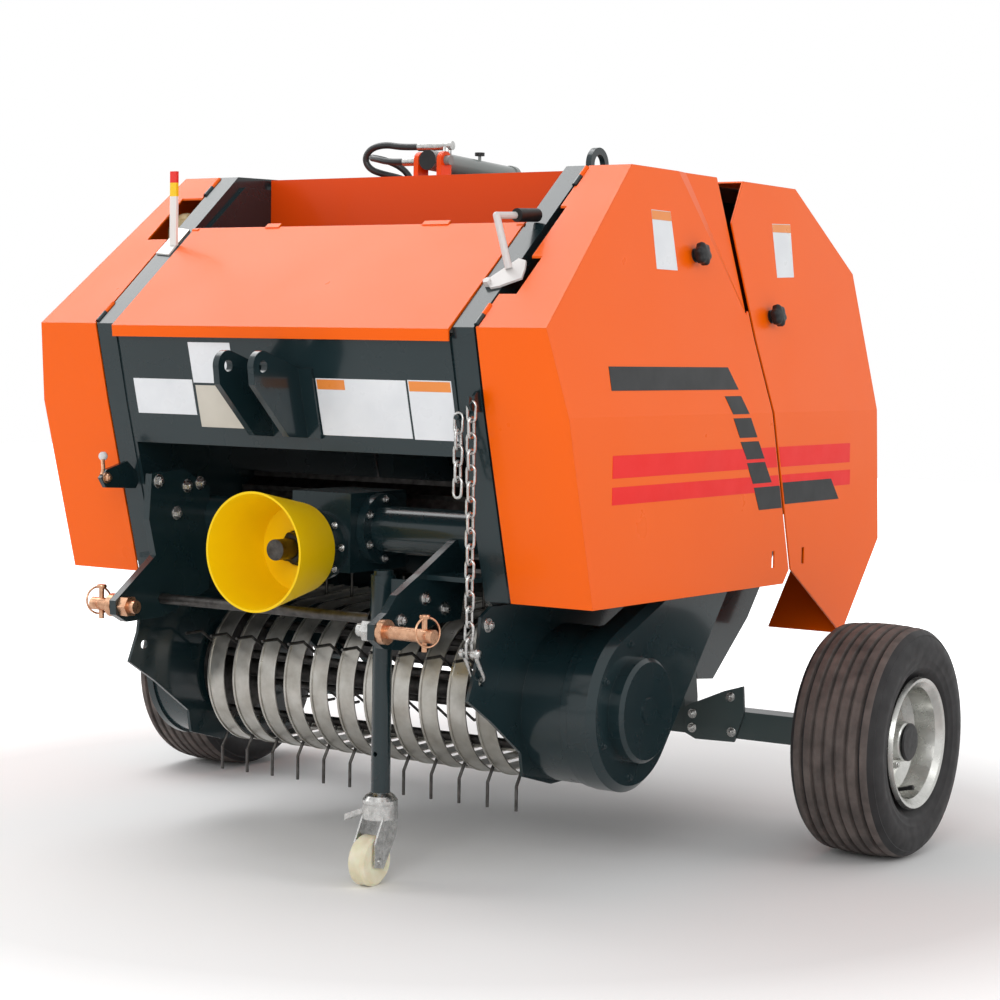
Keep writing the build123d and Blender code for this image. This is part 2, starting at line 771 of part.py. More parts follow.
def stripper():
    """All the bands on their top and bottom cross angles."""
    body = None
    for index in range(BAND_COUNT):
        x = (index - (BAND_COUNT - 1) / 2) * BAND_PITCH
        body = band(x) if body is None else body + band(x)
    top_z = REEL_Z + BAND_RADIUS + BAND_RISE - BAND_T
    low_z = REEL_Z - BAND_RADIUS + BAND_T
    front = BAND_REAR - ANGLE_W
    between_walls = WALL_IN - SEAT
    between_plates = PICKUP_SIDE_IN - SEAT
    body = body + block(-between_walls, between_walls, front, BAND_REAR, top_z - ANGLE_T, top_z)
    return body + block(-between_plates, between_plates, front, BAND_REAR, low_z, low_z + ANGLE_T)


def tine(x, angle):
    """A spring tine: straight out from its bar, then bent back at the tip."""

    def at(radius, lead):
        a = math.radians(angle + lead)
        return (x, REEL_Y + radius * math.cos(a), REEL_Z + radius * math.sin(a))

    elbow = at(TINE_BEND, -4)
    lower = prism(at(TINE_BAR_AT - 4, 0), elbow, TINE_R, TINE_SIDES)
    return lower + prism(elbow, at(TINE_TIP_RADIUS, 2), TINE_R, TINE_SIDES)


def reel():
    """The reel: a shaft, two end plates and four bars of tines."""
    half = PICKUP_SIDE_IN - RUN
    body = x_rod(-PICKUP_SIDE_IN + SEAT, PICKUP_SIDE_IN - SEAT, REEL_Y, REEL_Z, REEL_SHAFT_R)
    for low in (-half, half - 6):
        body = body + x_rod(low, low + 6, REEL_Y, REEL_Z, TINE_BAR_AT + TINE_BAR_R + 3)
    for row in range(TINE_ROWS):
        angle = 245 + row * 360 / TINE_ROWS
        a = math.radians(angle)
        y = REEL_Y + TINE_BAR_AT * math.cos(a)
        z = REEL_Z + TINE_BAR_AT * math.sin(a)
        bar = x_rod(-half, half, y, z, TINE_BAR_R)
        for index in range(BAND_COUNT + 1):
            bar = bar + tine((index - BAND_COUNT / 2) * BAND_PITCH, angle)
        body = body + bar
    return body


def pickup_side(side):
    """A pickup side plate with the round shroud that closes the reel's end."""
    plate = [
        (48, 316),
        (70, 367),
        (82, 447),
        (110, 462),
        (330, 460),
        (470, 440),
        (PICKUP_PIVOT_Y - 12, PICKUP_PIVOT_Z + 24),
        (PICKUP_PIVOT_Y + 20, PICKUP_PIVOT_Z + 16),
        (PICKUP_PIVOT_Y + 20, PICKUP_PIVOT_Z - 16),
        (540, 300),
        (530, 148),
        (300, 148),
        (214, 172),
        (206, 212),
        (116, 275),
    ]
    outer = PICKUP_SIDE_IN + PICKUP_SIDE_T
    body = yz_plate(plate, PICKUP_SIDE_IN, outer)
    drop = Vector(SHACKLE_BOW[0] - SHACKLE[1], SHACKLE_BOW[1] - SHACKLE[2]).normalized() * 2.1
    eye_y, eye_z = SHACKLE_BOW[0] + drop.X, SHACKLE_BOW[1] + drop.Y
    body = body - x_rod(PICKUP_SIDE_IN - 1, outer + 1, eye_y, eye_z, SHACKLE_EYE_R)
    shroud = x_rod(outer - 1, CHAIN_COVER_IN - SEAT, REEL_Y, REEL_Z, CHAIN_COVER_R - 6)
    shroud = shroud + x_rod(CHAIN_COVER_IN - 14, CHAIN_COVER_IN - SEAT, REEL_Y, REEL_Z, CHAIN_COVER_R - 2)
    pivot = x_rod(WALL_IN + WALL_T + SEAT, PICKUP_SIDE_IN + 14, PICKUP_PIVOT_Y, PICKUP_PIVOT_Z, 16)
    body = body + shroud + pivot
    return body if side > 0 else left_of(body)


def chain_cover():
    """The teardrop cover over the pickup's chain, with its round cap."""
    big = Pos(REEL_Y, REEL_Z) * Circle(CHAIN_COVER_R)
    small = Pos(SPROCKET_Y, SPROCKET_Z) * Circle(SPROCKET_R)
    face = make_hull((big + small).edges())
    plate = extrude(Plane.YZ * face, amount=CHAIN_COVER_OUT - CHAIN_COVER_IN, dir=(1, 0, 0))
    plate = Pos(CHAIN_COVER_IN, 0, 0) * plate
    rim_edges = plate.faces().sort_by(Axis.X)[-1].edges()
    plate = chamfer(rim_edges, COVER_EDGE)
    cap = x_rod(CHAIN_COVER_OUT - 1, CHAIN_COVER_OUT + COVER_DRUM_RISE, REEL_Y, REEL_Z, COVER_DRUM_R)
    cap = chamfer(cap.faces().sort_by(Axis.X)[-1].edges(), COVER_EDGE / 2)
    boss = x_rod(CHAIN_COVER_OUT, CHAIN_COVER_OUT + COVER_DRUM_RISE + 3, REEL_Y, REEL_Z, COVER_BOSS_R)
    return plate + cap + boss


def link_pin(plate_x, side):
    """A lower link pin: shoulder against the plate, nut on the inner side."""
    outer_face = plate_x + side * HITCH_T / 2
    inner_face = plate_x - side * HITCH_T / 2
    low, high = sorted((inner_face - side * 30, side * LINK_PIN_END))
    body = x_rod(low, high, LINK_Y, LINK_Z, LINK_PIN_R)
    low, high = sorted((outer_face + side * SEAT, outer_face + side * SHOULDER_T))
    body = body + x_rod(low, high, LINK_Y, LINK_Z, SHOULDER_R)
    low, high = sorted((inner_face - side * SEAT, inner_face - side * LINK_NUT_T))
    return body + hexagon(low, high, LINK_Y, LINK_Z, LINK_NUT_R)


def hitch_plate_left():
    outline = [(27, 649), (21, 571), (39, 508), (LINK_Y - 20, LINK_Z + 10), (LINK_Y - 18, LINK_Z - 14)]
    outline += [(LINK_Y + 8, LINK_Z - 28), (60, 400), (180, 440), (180, 620), (110, 655)]
    plate = yz_plate(outline, HITCH_LEFT_X - HITCH_T / 2, HITCH_LEFT_X + HITCH_T / 2)
    plate = plate - x_rod(HITCH_LEFT_X - 20, HITCH_LEFT_X + 20, LINK_Y, LINK_Z, LINK_PIN_R + SEAT)
    shelf = block(-WALL_IN + SEAT, HITCH_LEFT_X, 60, 160, 500, 508)
    return plate + shelf - x_rod(-WALL_IN, -200, GEARBOX_Y, CROSS_SHAFT_Z, CROSS_TUBE_R + SEAT)


def hitch_plate_right():
    outline = [(161, 560), (60, 510), (-3, 481), (-29, 455), (LINK_Y - 20, LINK_Z + 12), (LINK_Y - 20, LINK_Z - 12)]
    outline += [(LINK_Y + 6, LINK_Z - 28), (10, 392), (95, 425), (178, 428), (200, 560)]
    plate = yz_plate(outline, HITCH_RIGHT_X - HITCH_T / 2, HITCH_RIGHT_X + HITCH_T / 2)
    plate = plate - x_rod(HITCH_RIGHT_X - 20, HITCH_RIGHT_X + 20, LINK_Y, LINK_Z, LINK_PIN_R + SEAT)
    shelf = block(HITCH_RIGHT_X, WALL_IN - SEAT, 80, 160, 500, 508)
    return plate + shelf - x_rod(200, WALL_IN, GEARBOX_Y, CROSS_SHAFT_Z, CROSS_TUBE_R + SEAT)


def panel_y(z):
    """Where the front panel's face lies at a height."""
    if z > CHIN[1]:
        share = (z - CHIN[1]) / (PANEL_HIGH[1] - CHIN[1])
        return CHIN[0] + share * (PANEL_HIGH[0] - CHIN[0])
    share = (CHIN[1] - z) / (CHIN[1] - PANEL_LOW[1])
    return CHIN[0] + share * (PANEL_LOW[0] - CHIN[0])


def top_link_ears():
    """Two rounded ears on a back plate against the front panel, bored for the top link's pin."""
    high, low = EAR_HIGH, EAR_LOW
    seats = [(panel_y(z) - SEAT, z) for z in (low, CHIN[1], high)]
    outline = [
        (TOP_LINK_Y - EAR_R, TOP_LINK_Z),
        (TOP_LINK_Y - 21, TOP_LINK_Z - 30),
        (-12, low + 3),
    ]
    outline += seats
    outline += [(TOP_LINK_Y + 9, TOP_LINK_Z + 23.3)]
    body = None
    for x in (-EAR_X, EAR_X):
        ear = yz_plate(outline, x - EAR_T / 2, x + EAR_T / 2)
        ear = ear + x_rod(x - EAR_T / 2, x + EAR_T / 2, TOP_LINK_Y, TOP_LINK_Z, EAR_R)
        body = ear if body is None else body + ear
    back = seats + [(y - BACK_T, z) for y, z in seats[::-1]]
    body = body + yz_plate(back, *EAR_BACK)
    return body - x_rod(-60, 60, TOP_LINK_Y, TOP_LINK_Z, TOP_LINK_HOLE)


def front_panel():
    outline = [
        PANEL_HIGH,
        CHIN,
        PANEL_LOW,
        (PANEL_LOW[0] + PANEL_T, PANEL_LOW[1] + 1),
        (CHIN[0] + PANEL_T, CHIN[1] + 1),
        (PANEL_HIGH[0] + PANEL_T, PANEL_HIGH[1]),
    ]
    return yz_plate(outline, -WALL_IN + SEAT, WALL_IN - SEAT)


def hood():
    front_y, front_z = -9, 903
    outline = [
        (front_y, front_z),
        (front_y + 2, front_z - HOOD_LIP),
        (front_y + 2 + HOOD_T, front_z - HOOD_LIP),
        (front_y + HOOD_T + 1, front_z - HOOD_T),
        (HOOD_REAR[0], HOOD_REAR[1] - HOOD_T),
        HOOD_REAR,
    ]
    sheet = yz_plate(outline, -HOOD_HALF, HOOD_HALF)
    tab = [(HOOD_REAR[0] - 2, HOOD_REAR[1] - HOOD_T), (HOOD_REAR[0] + 7, HOOD_REAR[1] + 4)]
    tab += [(HOOD_REAR[0] + 5, HOOD_REAR[1] + 6), (HOOD_REAR[0] - 4, HOOD_REAR[1] - 1)]
    for low, high in HOOD_TABS:
        sheet = sheet + yz_plate(tab, low, high)
    pin_end = WALL_IN + WALL_T - 1 - SEAT
    for side in (1, -1):
        low, high = sorted((side * (HOOD_HALF - 12), side * pin_end))
        sheet = sheet + x_rod(low, high, HOOD_PIN_Y, HOOD_PIN_Z, HOOD_PIN_R)
    return sheet


def top_beam():
    """The cross beam, an angle open to the rear, with the cylinder's lugs and the hose bulkhead."""
    half = WALL_IN - SEAT
    low = BEAM_TOP - BEAM_HIGH
    section = [
        (BEAM_Y, low),
        (BEAM_Y, BEAM_TOP),
        (BEAM_Y + BEAM_DEEP, BEAM_TOP),
        (BEAM_Y + BEAM_DEEP, BEAM_TOP - BEAM_T),
        (BEAM_Y + BEAM_T, BEAM_TOP - BEAM_T),
        (BEAM_Y + BEAM_T, low),
    ]
    body = yz_plate(section, -half, half)
    for x in (-RAM_LUG_X - RAM_LUG_T, RAM_LUG_X):
        body = body + pin_lug(x, x + RAM_LUG_T, RAM_FOOT_Y, RAM_FOOT_Z, BEAM_TOP - BEAM_T, RAM_LUG_R)
    body = body - x_rod(-2 * RAM_LUG_X, 2 * RAM_LUG_X, RAM_FOOT_Y, RAM_FOOT_Z, RAM_PIN_R)
    plate_z = BULKHEAD_Z - 16
    ends = (HOSE_UPPER[-1], HOSE_LOWER[-1])
    rear = max(y for x, y, z in ends) + 12
    left = min(x for x, y, z in ends) - 14
    right = max(x for x, y, z in ends) + 14
    body = body + block(left, right, BEAM_Y + BEAM_T - 1, rear, plate_z - BULKHEAD_T, plate_z)
    for x, y, z in ends:
        body = body + rod((x, y, plate_z - 14), (x, y, z), HOSE_R + 2)
    return body


def ram_barrel():
    """The cylinder's barrel on its trunnions, with its end cap, hose fittings and vent knob."""
    _, on = along((RAM_FOOT_Y, RAM_FOOT_Z), (RAM_EYE_Y, RAM_EYE_Z))
    body = rod(on(-RAM_CAP), on(RAM_BARREL_LENGTH), RAM_BARREL_R)
    body = body + x_rod(-40, 40, RAM_FOOT_Y, RAM_FOOT_Z, RAM_PIN_R - SEAT)
    body = body + x_rod(-FERRULE_END, -38, RAM_FOOT_Y, RAM_FOOT_Z, PORT_R)
    body = body + rod(on(RAM_BARREL_LENGTH - 12), on(RAM_BARREL_LENGTH), RAM_BARREL_R + 2)
    body = body + rod((0, PORT_Y, PORT_Z), (0, PORT_Y, FERRULE_Z), PORT_R)
    body = body + x_rod(-FERRULE_END, 12, PORT_Y, FERRULE_Z, PORT_R)
    _, knob_y, knob_z = on(KNOB_AT)
    stem_top = knob_z + RAM_BARREL_R + 8
    body = body + rod((0, knob_y, knob_z), (0, knob_y, stem_top + 3), 3)
    body = body + rod((0, knob_y, stem_top), (0, knob_y, stem_top + 6), 9)
    return body - rod(on(60), on(RAM_BARREL_LENGTH + 10), RAM_ROD_R + SEAT)


def ram_rod():
    length, on = along((RAM_FOOT_Y, RAM_FOOT_Z), (RAM_EYE_Y, RAM_EYE_Z))
    body = rod(on(RAM_BARREL_LENGTH - 90), on(length - 10), RAM_ROD_R)
    body = body + x_rod(3 - RAM_EYE_HALF, RAM_EYE_HALF - 3, RAM_EYE_Y, RAM_EYE_Z, RAM_LUG_R)
    return body - x_rod(-20, 20, RAM_EYE_Y, RAM_EYE_Z, RAM_PIN_R + 1)


def pto_guard():
    section = [
        (GUARD_MOUTH_R, GUARD_MOUTH_Y),
        (GUARD_REAR_R, GUARD_REAR_Y),
        (30, GUARD_REAR_Y),
        (30, GUARD_REAR_Y - GUARD_T),
        (GUARD_REAR_R - GUARD_T, GUARD_REAR_Y - GUARD_T),
        (GUARD_MOUTH_R - GUARD_T, GUARD_MOUTH_Y),
    ]
    face = make_face(Polyline(*section, close=True))
    return Pos(0, 0, PTO_Z) * revolve(face, axis=Axis.Y, revolution_arc=360)


def gearbox():
    """The bevel gearbox: a housing with its round input neck, flange and side covers' faces."""
    body = block(-GEARBOX_HALF, GEARBOX_HALF, GEARBOX_FRONT_Y + 20, 290, GEARBOX_LOW, CROSS_SHAFT_Z + 62)
    body = body + rod((0, GUARD_REAR_Y + SEAT, PTO_Z), (0, GEARBOX_FRONT_Y + 22, PTO_Z), GEARBOX_NECK_R)
    body = body + rod((0, GEARBOX_FRONT_Y + 10, PTO_Z), (0, GEARBOX_FRONT_Y + 22, PTO_Z), GEARBOX_FLANGE_R)
    bore = rod((0, GUARD_REAR_Y - 10, PTO_Z), (0, PTO_REAR_Y + 1, PTO_Z), PTO_NECK_R + PTO_FIT)
    return body - bore


def cross_tubes():
    """The drive's cross tubes with the flanges that bolt them to the gearbox."""
    tubes = []
    inner = GEARBOX_HALF + SEAT
    for side in (1, -1):
        low, high = sorted((side * inner, side * (WALL_IN - SEAT)))
        tube = x_rod(low, high, GEARBOX_Y, CROSS_SHAFT_Z, CROSS_TUBE_R)
        low, high = sorted((side * inner, side * (inner + 16)))
        tubes.append(tube + x_rod(low, high, GEARBOX_Y, CROSS_SHAFT_Z, CROSS_FLANGE_R))
    return Compound(children=tubes)


def pto_shaft():
    tip = rod((0, PTO_TIP_Y, PTO_Z), (0, PTO_TIP_Y + PTO_LENGTH, PTO_Z), PTO_RADIUS)
    return tip + rod((0, PTO_TIP_Y, PTO_Z), (0, PTO_REAR_Y, PTO_Z), PTO_NECK_R)


def jack_sleeve():
    body = rod((JACK_X, JACK_Y, 425), (JACK_X, JACK_Y, 505), JACK_SLEEVE_R)
    body = body + block(JACK_X, HITCH_RIGHT_X - HITCH_T / 2 - SEAT, JACK_Y - 6, JACK_Y + 6, 430, 500)
    return body - rod((JACK_X, JACK_Y, 420), (JACK_X, JACK_Y, 510), JACK_POST_R + SEAT)


def jack_post():
    """The jack's post with its pin hole, and the domed cap of the swivel at its foot."""
    post = rod((JACK_X, JACK_Y, DOME_FOOT), (JACK_X, JACK_Y, POST_TOP), JACK_POST_R)
    section = [
        (0, DOME_FOOT),
        (DOME_R, DOME_FOOT),
        (DOME_R, DOME_FOOT + 6),
        (DOME_R - 5, DOME_FOOT + 13),
        (JACK_POST_R, DOME_FOOT + 18),
        (0, DOME_FOOT + 18),
    ]
    dome = revolve(Plane.XZ * make_face(Polyline(*section, close=True)), axis=Axis.Z, revolution_arc=360)
    hole = rod((JACK_X, JACK_Y - 30, POST_HOLE_Z), (JACK_X, JACK_Y + 30, POST_HOLE_Z), 4)
    return post + Pos(JACK_X, JACK_Y, 0) * dome - hole


def caster_fork():
    """The swivelling fork: a round head, two tapered legs, the wheel's pin and the brake pedal."""
    head_top = DOME_FOOT - SEAT
    body = rod((JACK_X, JACK_Y, FORK_FOOT), (JACK_X, JACK_Y, head_top), DOME_R)
    leg = [
        (JACK_Y + 20, FORK_FOOT + 6),
        (JACK_Y - 20, FORK_FOOT + 6),
        (CASTER_Y - 14, 70),
        (CASTER_Y - 14, 34),
        (CASTER_Y + 10, 28),
        (JACK_Y + 16, 80),
    ]
    for side in (-1, 1):
        inner = JACK_X + side * (CASTER_W / 2 + 3)
        low, high = sorted((inner, inner + side * FORK_T))
        body = body + yz_plate(leg, low, high)
    half = CASTER_W / 2 + 8
    body = body + x_rod(JACK_X - half, JACK_X + half, CASTER_Y, CASTER_R, CASTER_PIN_R)
    pedal = [(JACK_X - 24, 122), (JACK_X - 60, 108), (JACK_X - 62, 96), (JACK_X - 56, 100), (JACK_X - 22, 114)]
    return body + xz_plate(pedal, JACK_Y - 16, JACK_Y + 16)


def caster_wheel():
    """A nylon wheel with a rounded tread."""
    half = CASTER_W / 2
    wheel = x_rod(JACK_X - half, JACK_X + half, CASTER_Y, CASTER_R, CASTER_R)
    wheel = chamfer(wheel.edges().filter_by(GeomType.CIRCLE), 5)
    return wheel - x_rod(JACK_X - 40, JACK_X + 40, CASTER_Y, CASTER_R, CASTER_PIN_R + SEAT)


def joggled(door, points):
    """The cover with its corner beside the seam set inwards behind a slanted strip."""
    (front_top, front_low), (rear_top, rear_low) = JOGGLE_FRONT, JOGGLE_REAR
    beyond = (FRONT_BOTTOM_REAR[0], rear_low[1])
    above = 60

    def raised(top, low):
        share = above / (top[1] - low[1])
        return (top[0] + (top[0] - low[0]) * share, top[1] + above)

    corner = [rear_low, beyond, (beyond[0], rear_top[1] + above), raised(rear_top, rear_low)]
    zone = [raised(front_top, front_low), front_low, rear_low, beyond, (beyond[0], front_top[1] + above)]
    zone_room = yz_plate(zone, COVER_IN, COVER_OUT + 1)
    band_0 = xz_plate(lean_section(JOGGLE_DEPTH, COVER_IN - 1), -50, 1300)
    band_1 = xz_plate(lean_section(JOGGLE_DEPTH + COVER_T, COVER_IN - 1), -60, 1310)
    inner_sheet = (yz_plate(points, COVER_IN, COVER_OUT) & yz_plate(corner, COVER_IN, COVER_OUT)) & (band_0 - band_1)

    def side_face(top, low, inset):
        corners = []
        for (y, z), depth in ((top, 0), (low, 0), (low, COVER_T), (top, COVER_T)):
            corners.append((COVER_OUT - inset - depth - LEAN * (z - LEAN_Z), y, z))
        return make_face(Polyline(*corners, close=True))

    strip = loft([side_face(front_top, front_low, 0), side_face(rear_top, rear_low, JOGGLE_DEPTH)], ruled=True)
    trimmed = door - (zone_room - band_0)
    return trimmed + inner_sheet + strip


def slot_room(y):
    """A hand slot through a cover's side."""
    half_w, half_h = SLOT_W / 2, SLOT_H / 2
    return block(COVER_OUT - 10, COVER_OUT + 1, y - half_w, y + half_w, SLOT_Z - half_h, SLOT_Z + half_h)


def door_front(cut_outs):
    points = [TOE, CHIN, NOSE, BROW, FRONT_TOP_REAR]
    points += [(y - SEAM_GAP, z) for y, z in SEAM[::-1]] + [FRONT_BOTTOM_REAR]
    walled = [True, True, True, True] + [False] * (len(points) - 4)
    door = cover(points, walled) - knuckle_room(NOSE, BROW, False, KNUCKLE_SPREAD)
    door = joggled(door, points) - slot_room(SLOT_FRONT_Y)
    for x, y_low, y_high in cut_outs:
        door = door - slope_room(COVER_IN - 1, x, y_low, y_high)
    return door + knuckles(NOSE, BROW, False, KNUCKLE_SPREAD)


def door_rear():
    points = [REAR_TIP, REAR_HEEL, REAR_FOLD, REAR_SHOULDER, REAR_TOP_REAR, REAR_TOP_FRONT]
    points += [(y + SEAM_GAP, z) for y, z in SEAM[::-1]]
    walled = [True] * 5 + [False] * (len(points) - 5)
    door = cover(points, walled) - knuckle_room(REAR_TOP_REAR, REAR_SHOULDER, False, REAR_SPREAD)
    return door - slot_room(SLOT_REAR_Y) + knuckles(REAR_TOP_REAR, REAR_SHOULDER, False, REAR_SPREAD)


def lift_chains():
    """The pickup's chain with its shackle, and the short spare chain."""
    hook = Vector(HOOK_X, HOOK_Y, HOOK_Z)
    pin = Vector(*SHACKLE)
    direction = (pin - hook).normalized()
    pieces = chain(hook - direction * LINK_NEST, pin + direction * PIN_NEST, CHAIN_LINKS)
    bow = Vector(SHACKLE[0], *SHACKLE_BOW)
    drop = (bow - pin).normalized()
    normal = Vector(1, 0, 0).cross(drop)
    inner_w = SHACKLE_W - 2 * SHACKLE_WIRE
    inner_l = (bow - pin).length + 20
    centre = bow - drop * (SHACKLE_WIRE / 2 + inner_l / 2)
    plane = Plane(origin=centre, x_dir=(1, 0, 0), z_dir=normal)
    ring = stadium(SHACKLE_W, inner_l + 2 * SHACKLE_WIRE) - stadium(inner_w, inner_l)
    ring = ring - Pos(0, -inner_l / 2 - 6) * Rectangle(SHACKLE_W + 2, 44)
    bow_piece = Pos(*(normal * (-SHACKLE_WIRE / 2))) * extrude(plane * ring, amount=SHACKLE_WIRE, dir=normal)
    reach = SHACKLE_W / 2
    bolt = x_rod(SHACKLE[0] - reach - 3, SHACKLE[0] + reach, SHACKLE[1], SHACKLE[2], SHACKLE_PIN_R)
    bolt = bolt + hexagon(SHACKLE[0] + reach, SHACKLE[0] + reach + 6, SHACKLE[1], SHACKLE[2], 8)
    pieces.append(bow_piece + bolt)
    top = Vector(*SPARE_PIN) + Vector(0, 0, PIN_NEST)
    spare_length = SPARE_LINKS * SPARE_INNER - (SPARE_LINKS - 1) * LINK_SLACK
    pieces += chain(top, top - Vector(0, 0, spare_length), SPARE_LINKS)
    return Compound(children=pieces)


def crank_handle():
    """The index plate on the right bar with its bolt and the bent crank."""
    plate = [(356, 111), (375, 94), (389, 98), (421, 119), (415, 143), (407, 163), (390, 169)]
    body = slope_plate(plate, SEAT, SEAT + CRANK_T)
    x, up = CRANK_BOLT
    head = [(x + 7 * math.cos(math.radians(a)), up + 7 * math.sin(math.radians(a))) for a in range(0, 360, 60)]
    body = body + slope_plate(head, SEAT, SEAT + CRANK_T + 6)
    foot, elbow, end = (387, 104, 1000), (362, 104, 1084), (372, 206, 1090)
    grip = (370, 150, 1087)
    body = body + prism(foot, elbow, CRANK_ROD_R, 10) + prism(elbow, end, CRANK_ROD_R, 10)
    body = body + Pos(*elbow) * Sphere(CRANK_ROD_R)
    return body + rod(grip, end, GRIP_R)


def bale_indicator():
    """The bale size stick and its bracket on the left bar."""
    bracket = [(-390, 194), (-358, 190), (-358, 262), (-388, 268)]
    body = slope_plate(bracket, SEAT, SEAT + 3)
    x_low, x_high, y_low, y_high = STICK
    low = NOSE[1] + (BROW[1] - NOSE[1]) / (BROW[0] - NOSE[0]) * y_high + 1
    return body + block(-x_high, -x_low, y_low, y_high, low, TOP_Z - 1)


def lifting_eye():
    """A half-round lifting eye on the right tower."""
    low, high = EYE_X - EYE_T / 2, EYE_X + EYE_T / 2
    ring = x_rod(low, high, EYE_Y, EYE_Z, EYE_R) - x_rod(low - 1, high + 1, EYE_Y, EYE_Z, EYE_HOLE_R)
    foot = BROW[1] + 4 * (EYE_Y + EYE_R - BROW[0]) / (TOWER_REAR - BROW[0]) + SEAT
    return ring - block(low - 1, high + 1, EYE_Y - 40, EYE_Y + 40, EYE_Z - 40, foot)


def twine_ball():
    """The spool of twine on its shelf behind the left cover."""
    straight_top = TWINE_TOP - TWINE_R
    body = rod((TWINE_X, TWINE_Y, TWINE_SHELF), (TWINE_X, TWINE_Y, straight_top), TWINE_R)
    return body + Pos(TWINE_X, TWINE_Y, straight_top) * Sphere(TWINE_R)


def export_part(name, shape):
    """Write one named piece, moved so that the origin is under the machine's middle."""
    moved = Pos(0, -ORIGIN_BEHIND_FRONT, 0) * shape
    moved.label = name
    export_step(moved, f"parts/{name}.step")


wall = front_wall()
chain_hook, spare_pin = chain_holders()
twine_shelf, shelf_gusset, bar_lug = left_fittings()
pieces["frame_side_right"] = wall + chain_hook + spare_pin
pieces["frame_side_left"] = left_of(wall) + twine_shelf + shelf_gusset + bar_lug
pieces["front_panel"] = front_panel()
pieces["hood"] = hood()
pieces["top_beam"] = top_beam()
pieces["top_link_ears"] = top_link_ears()
pieces["hitch_plate_left"] = hitch_plate_left()
pieces["hitch_plate_right"] = hitch_plate_right()
pieces["link_pin_left"] = link_pin(HITCH_LEFT_X, -1)
pieces["link_pin_right"] = link_pin(HITCH_RIGHT_X, 1)
pieces["brace_rod"] = x_rod(HITCH_LEFT_X + HITCH_T / 2 + SEAT, JACK_X - JACK_SLEEVE_R - SEAT, 55, 432, 9)
pieces["gearbox"] = gearbox()
pieces["cross_tubes"] = cross_tubes()
pieces["pto_guard"] = pto_guard()
pieces["pto_shaft"] = pto_shaft()
pieces["jack_sleeve"] = jack_sleeve()
pieces["jack_post"] = jack_post()
pieces["caster_fork"] = caster_fork()
pieces["caster_wheel"] = caster_wheel()
pieces["axle"] = axle()
for side, word in ((1, "right"), (-1, "left")):
    pieces[f"tyre_{word}"] = tyre(side * WHEEL_X)
    pieces[f"rim_{word}"] = rim(side * WHEEL_X, side)
    pieces[f"pickup_side_{word}"] = pickup_side(side)
pieces["chain_cover"] = chain_cover()
pieces["stripper_bands"] = stripper()
pieces["pickup_reel"] = reel()
pieces["rollers_front"] = Compound(children=[roller(a) for a in FRONT_ROLLER_ANGLES])
pieces["rollers_rear"] = Compound(children=[roller(a) for a in REAR_ROLLER_ANGLES])
pieces["tailgate"] = tailgate()
pieces["ram_barrel"] = ram_barrel()
pieces["ram_rod"] = ram_rod()
pieces["hose_upper"] = hose(HOSE_UPPER, "hose_upper")
pieces["hose_lower"] = hose(HOSE_LOWER, "hose_lower")
pieces["lift_chains"] = lift_chains()
pieces["crank_handle"] = crank_handle()
pieces["bale_indicator"] = bale_indicator()
pieces["lifting_eye"] = lifting_eye()
pieces["twine_ball"] = twine_ball()
rear_door = door_rear()
pieces["door_front_right"] = door_front((CRANK_CUT, GROOVE_CUT))
pieces["door_front_left"] = left_of(door_front((TWINE_CUT,)))
pieces["door_rear_right"] = rear_door
pieces["door_rear_left"] = left_of(rear_door)

for name, shape in pieces.items():
    export_part(name, shape)
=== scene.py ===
import math

import bmesh
import bpy
from mathutils import Matrix, Vector


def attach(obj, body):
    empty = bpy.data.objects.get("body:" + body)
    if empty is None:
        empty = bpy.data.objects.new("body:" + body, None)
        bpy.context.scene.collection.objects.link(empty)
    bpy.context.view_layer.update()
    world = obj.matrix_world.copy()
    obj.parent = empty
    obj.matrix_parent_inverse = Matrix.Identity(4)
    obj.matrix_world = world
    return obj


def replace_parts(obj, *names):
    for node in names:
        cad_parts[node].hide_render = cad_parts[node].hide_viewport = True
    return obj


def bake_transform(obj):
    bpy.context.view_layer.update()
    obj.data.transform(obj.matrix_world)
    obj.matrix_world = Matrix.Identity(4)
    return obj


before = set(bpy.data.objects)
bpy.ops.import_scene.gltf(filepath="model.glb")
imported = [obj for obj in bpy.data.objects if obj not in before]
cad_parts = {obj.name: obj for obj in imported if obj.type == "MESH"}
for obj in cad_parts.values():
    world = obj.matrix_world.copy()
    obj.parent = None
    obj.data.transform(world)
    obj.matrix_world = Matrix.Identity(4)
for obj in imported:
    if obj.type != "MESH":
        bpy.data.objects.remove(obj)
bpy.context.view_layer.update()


# Camera: where it stands, in metres, how it is turned, in degrees, and its lens.
CAMERA_AT = (2.4183, -3.5256, 0.8716)
CAMERA_YAW = 33.3664
CAMERA_PITCH = -3.6635
CAMERA_ROLL = 1.0043
CAMERA_LENS = 84.25
SENSOR = 36.0

# Stage: half the floor's side, and where its glow begins and is full, in metres.
FLOOR_HALF = 12.0
FLOOR_GLOW = (1.1, 2.6)

# How bright the surround is as a light. Seen by the camera or in a reflection, it is white.
SURROUND_LIGHT = 0.55

# Lights: name, place, the point it faces and size, all in metres, and power in watts.
LIGHTS = (
    ("sky_box", (-2.44, 0.34, 4.1), (0, -0.3, 1.0), (3.2, 2.8), 85),
    ("front_box", (2.2, -4.6, 2.6), (0.1, 0, 0.6), (2.4, 2.4), 70),
    ("side_box", (4.8, 0.6, 2.2), (0.3, 0, 0.6), (2.4, 2.0), 38),
    ("left_box", (-4.2, -2.2, 2.2), (0, 0, 0.6), (2.0, 2.0), 30),
)

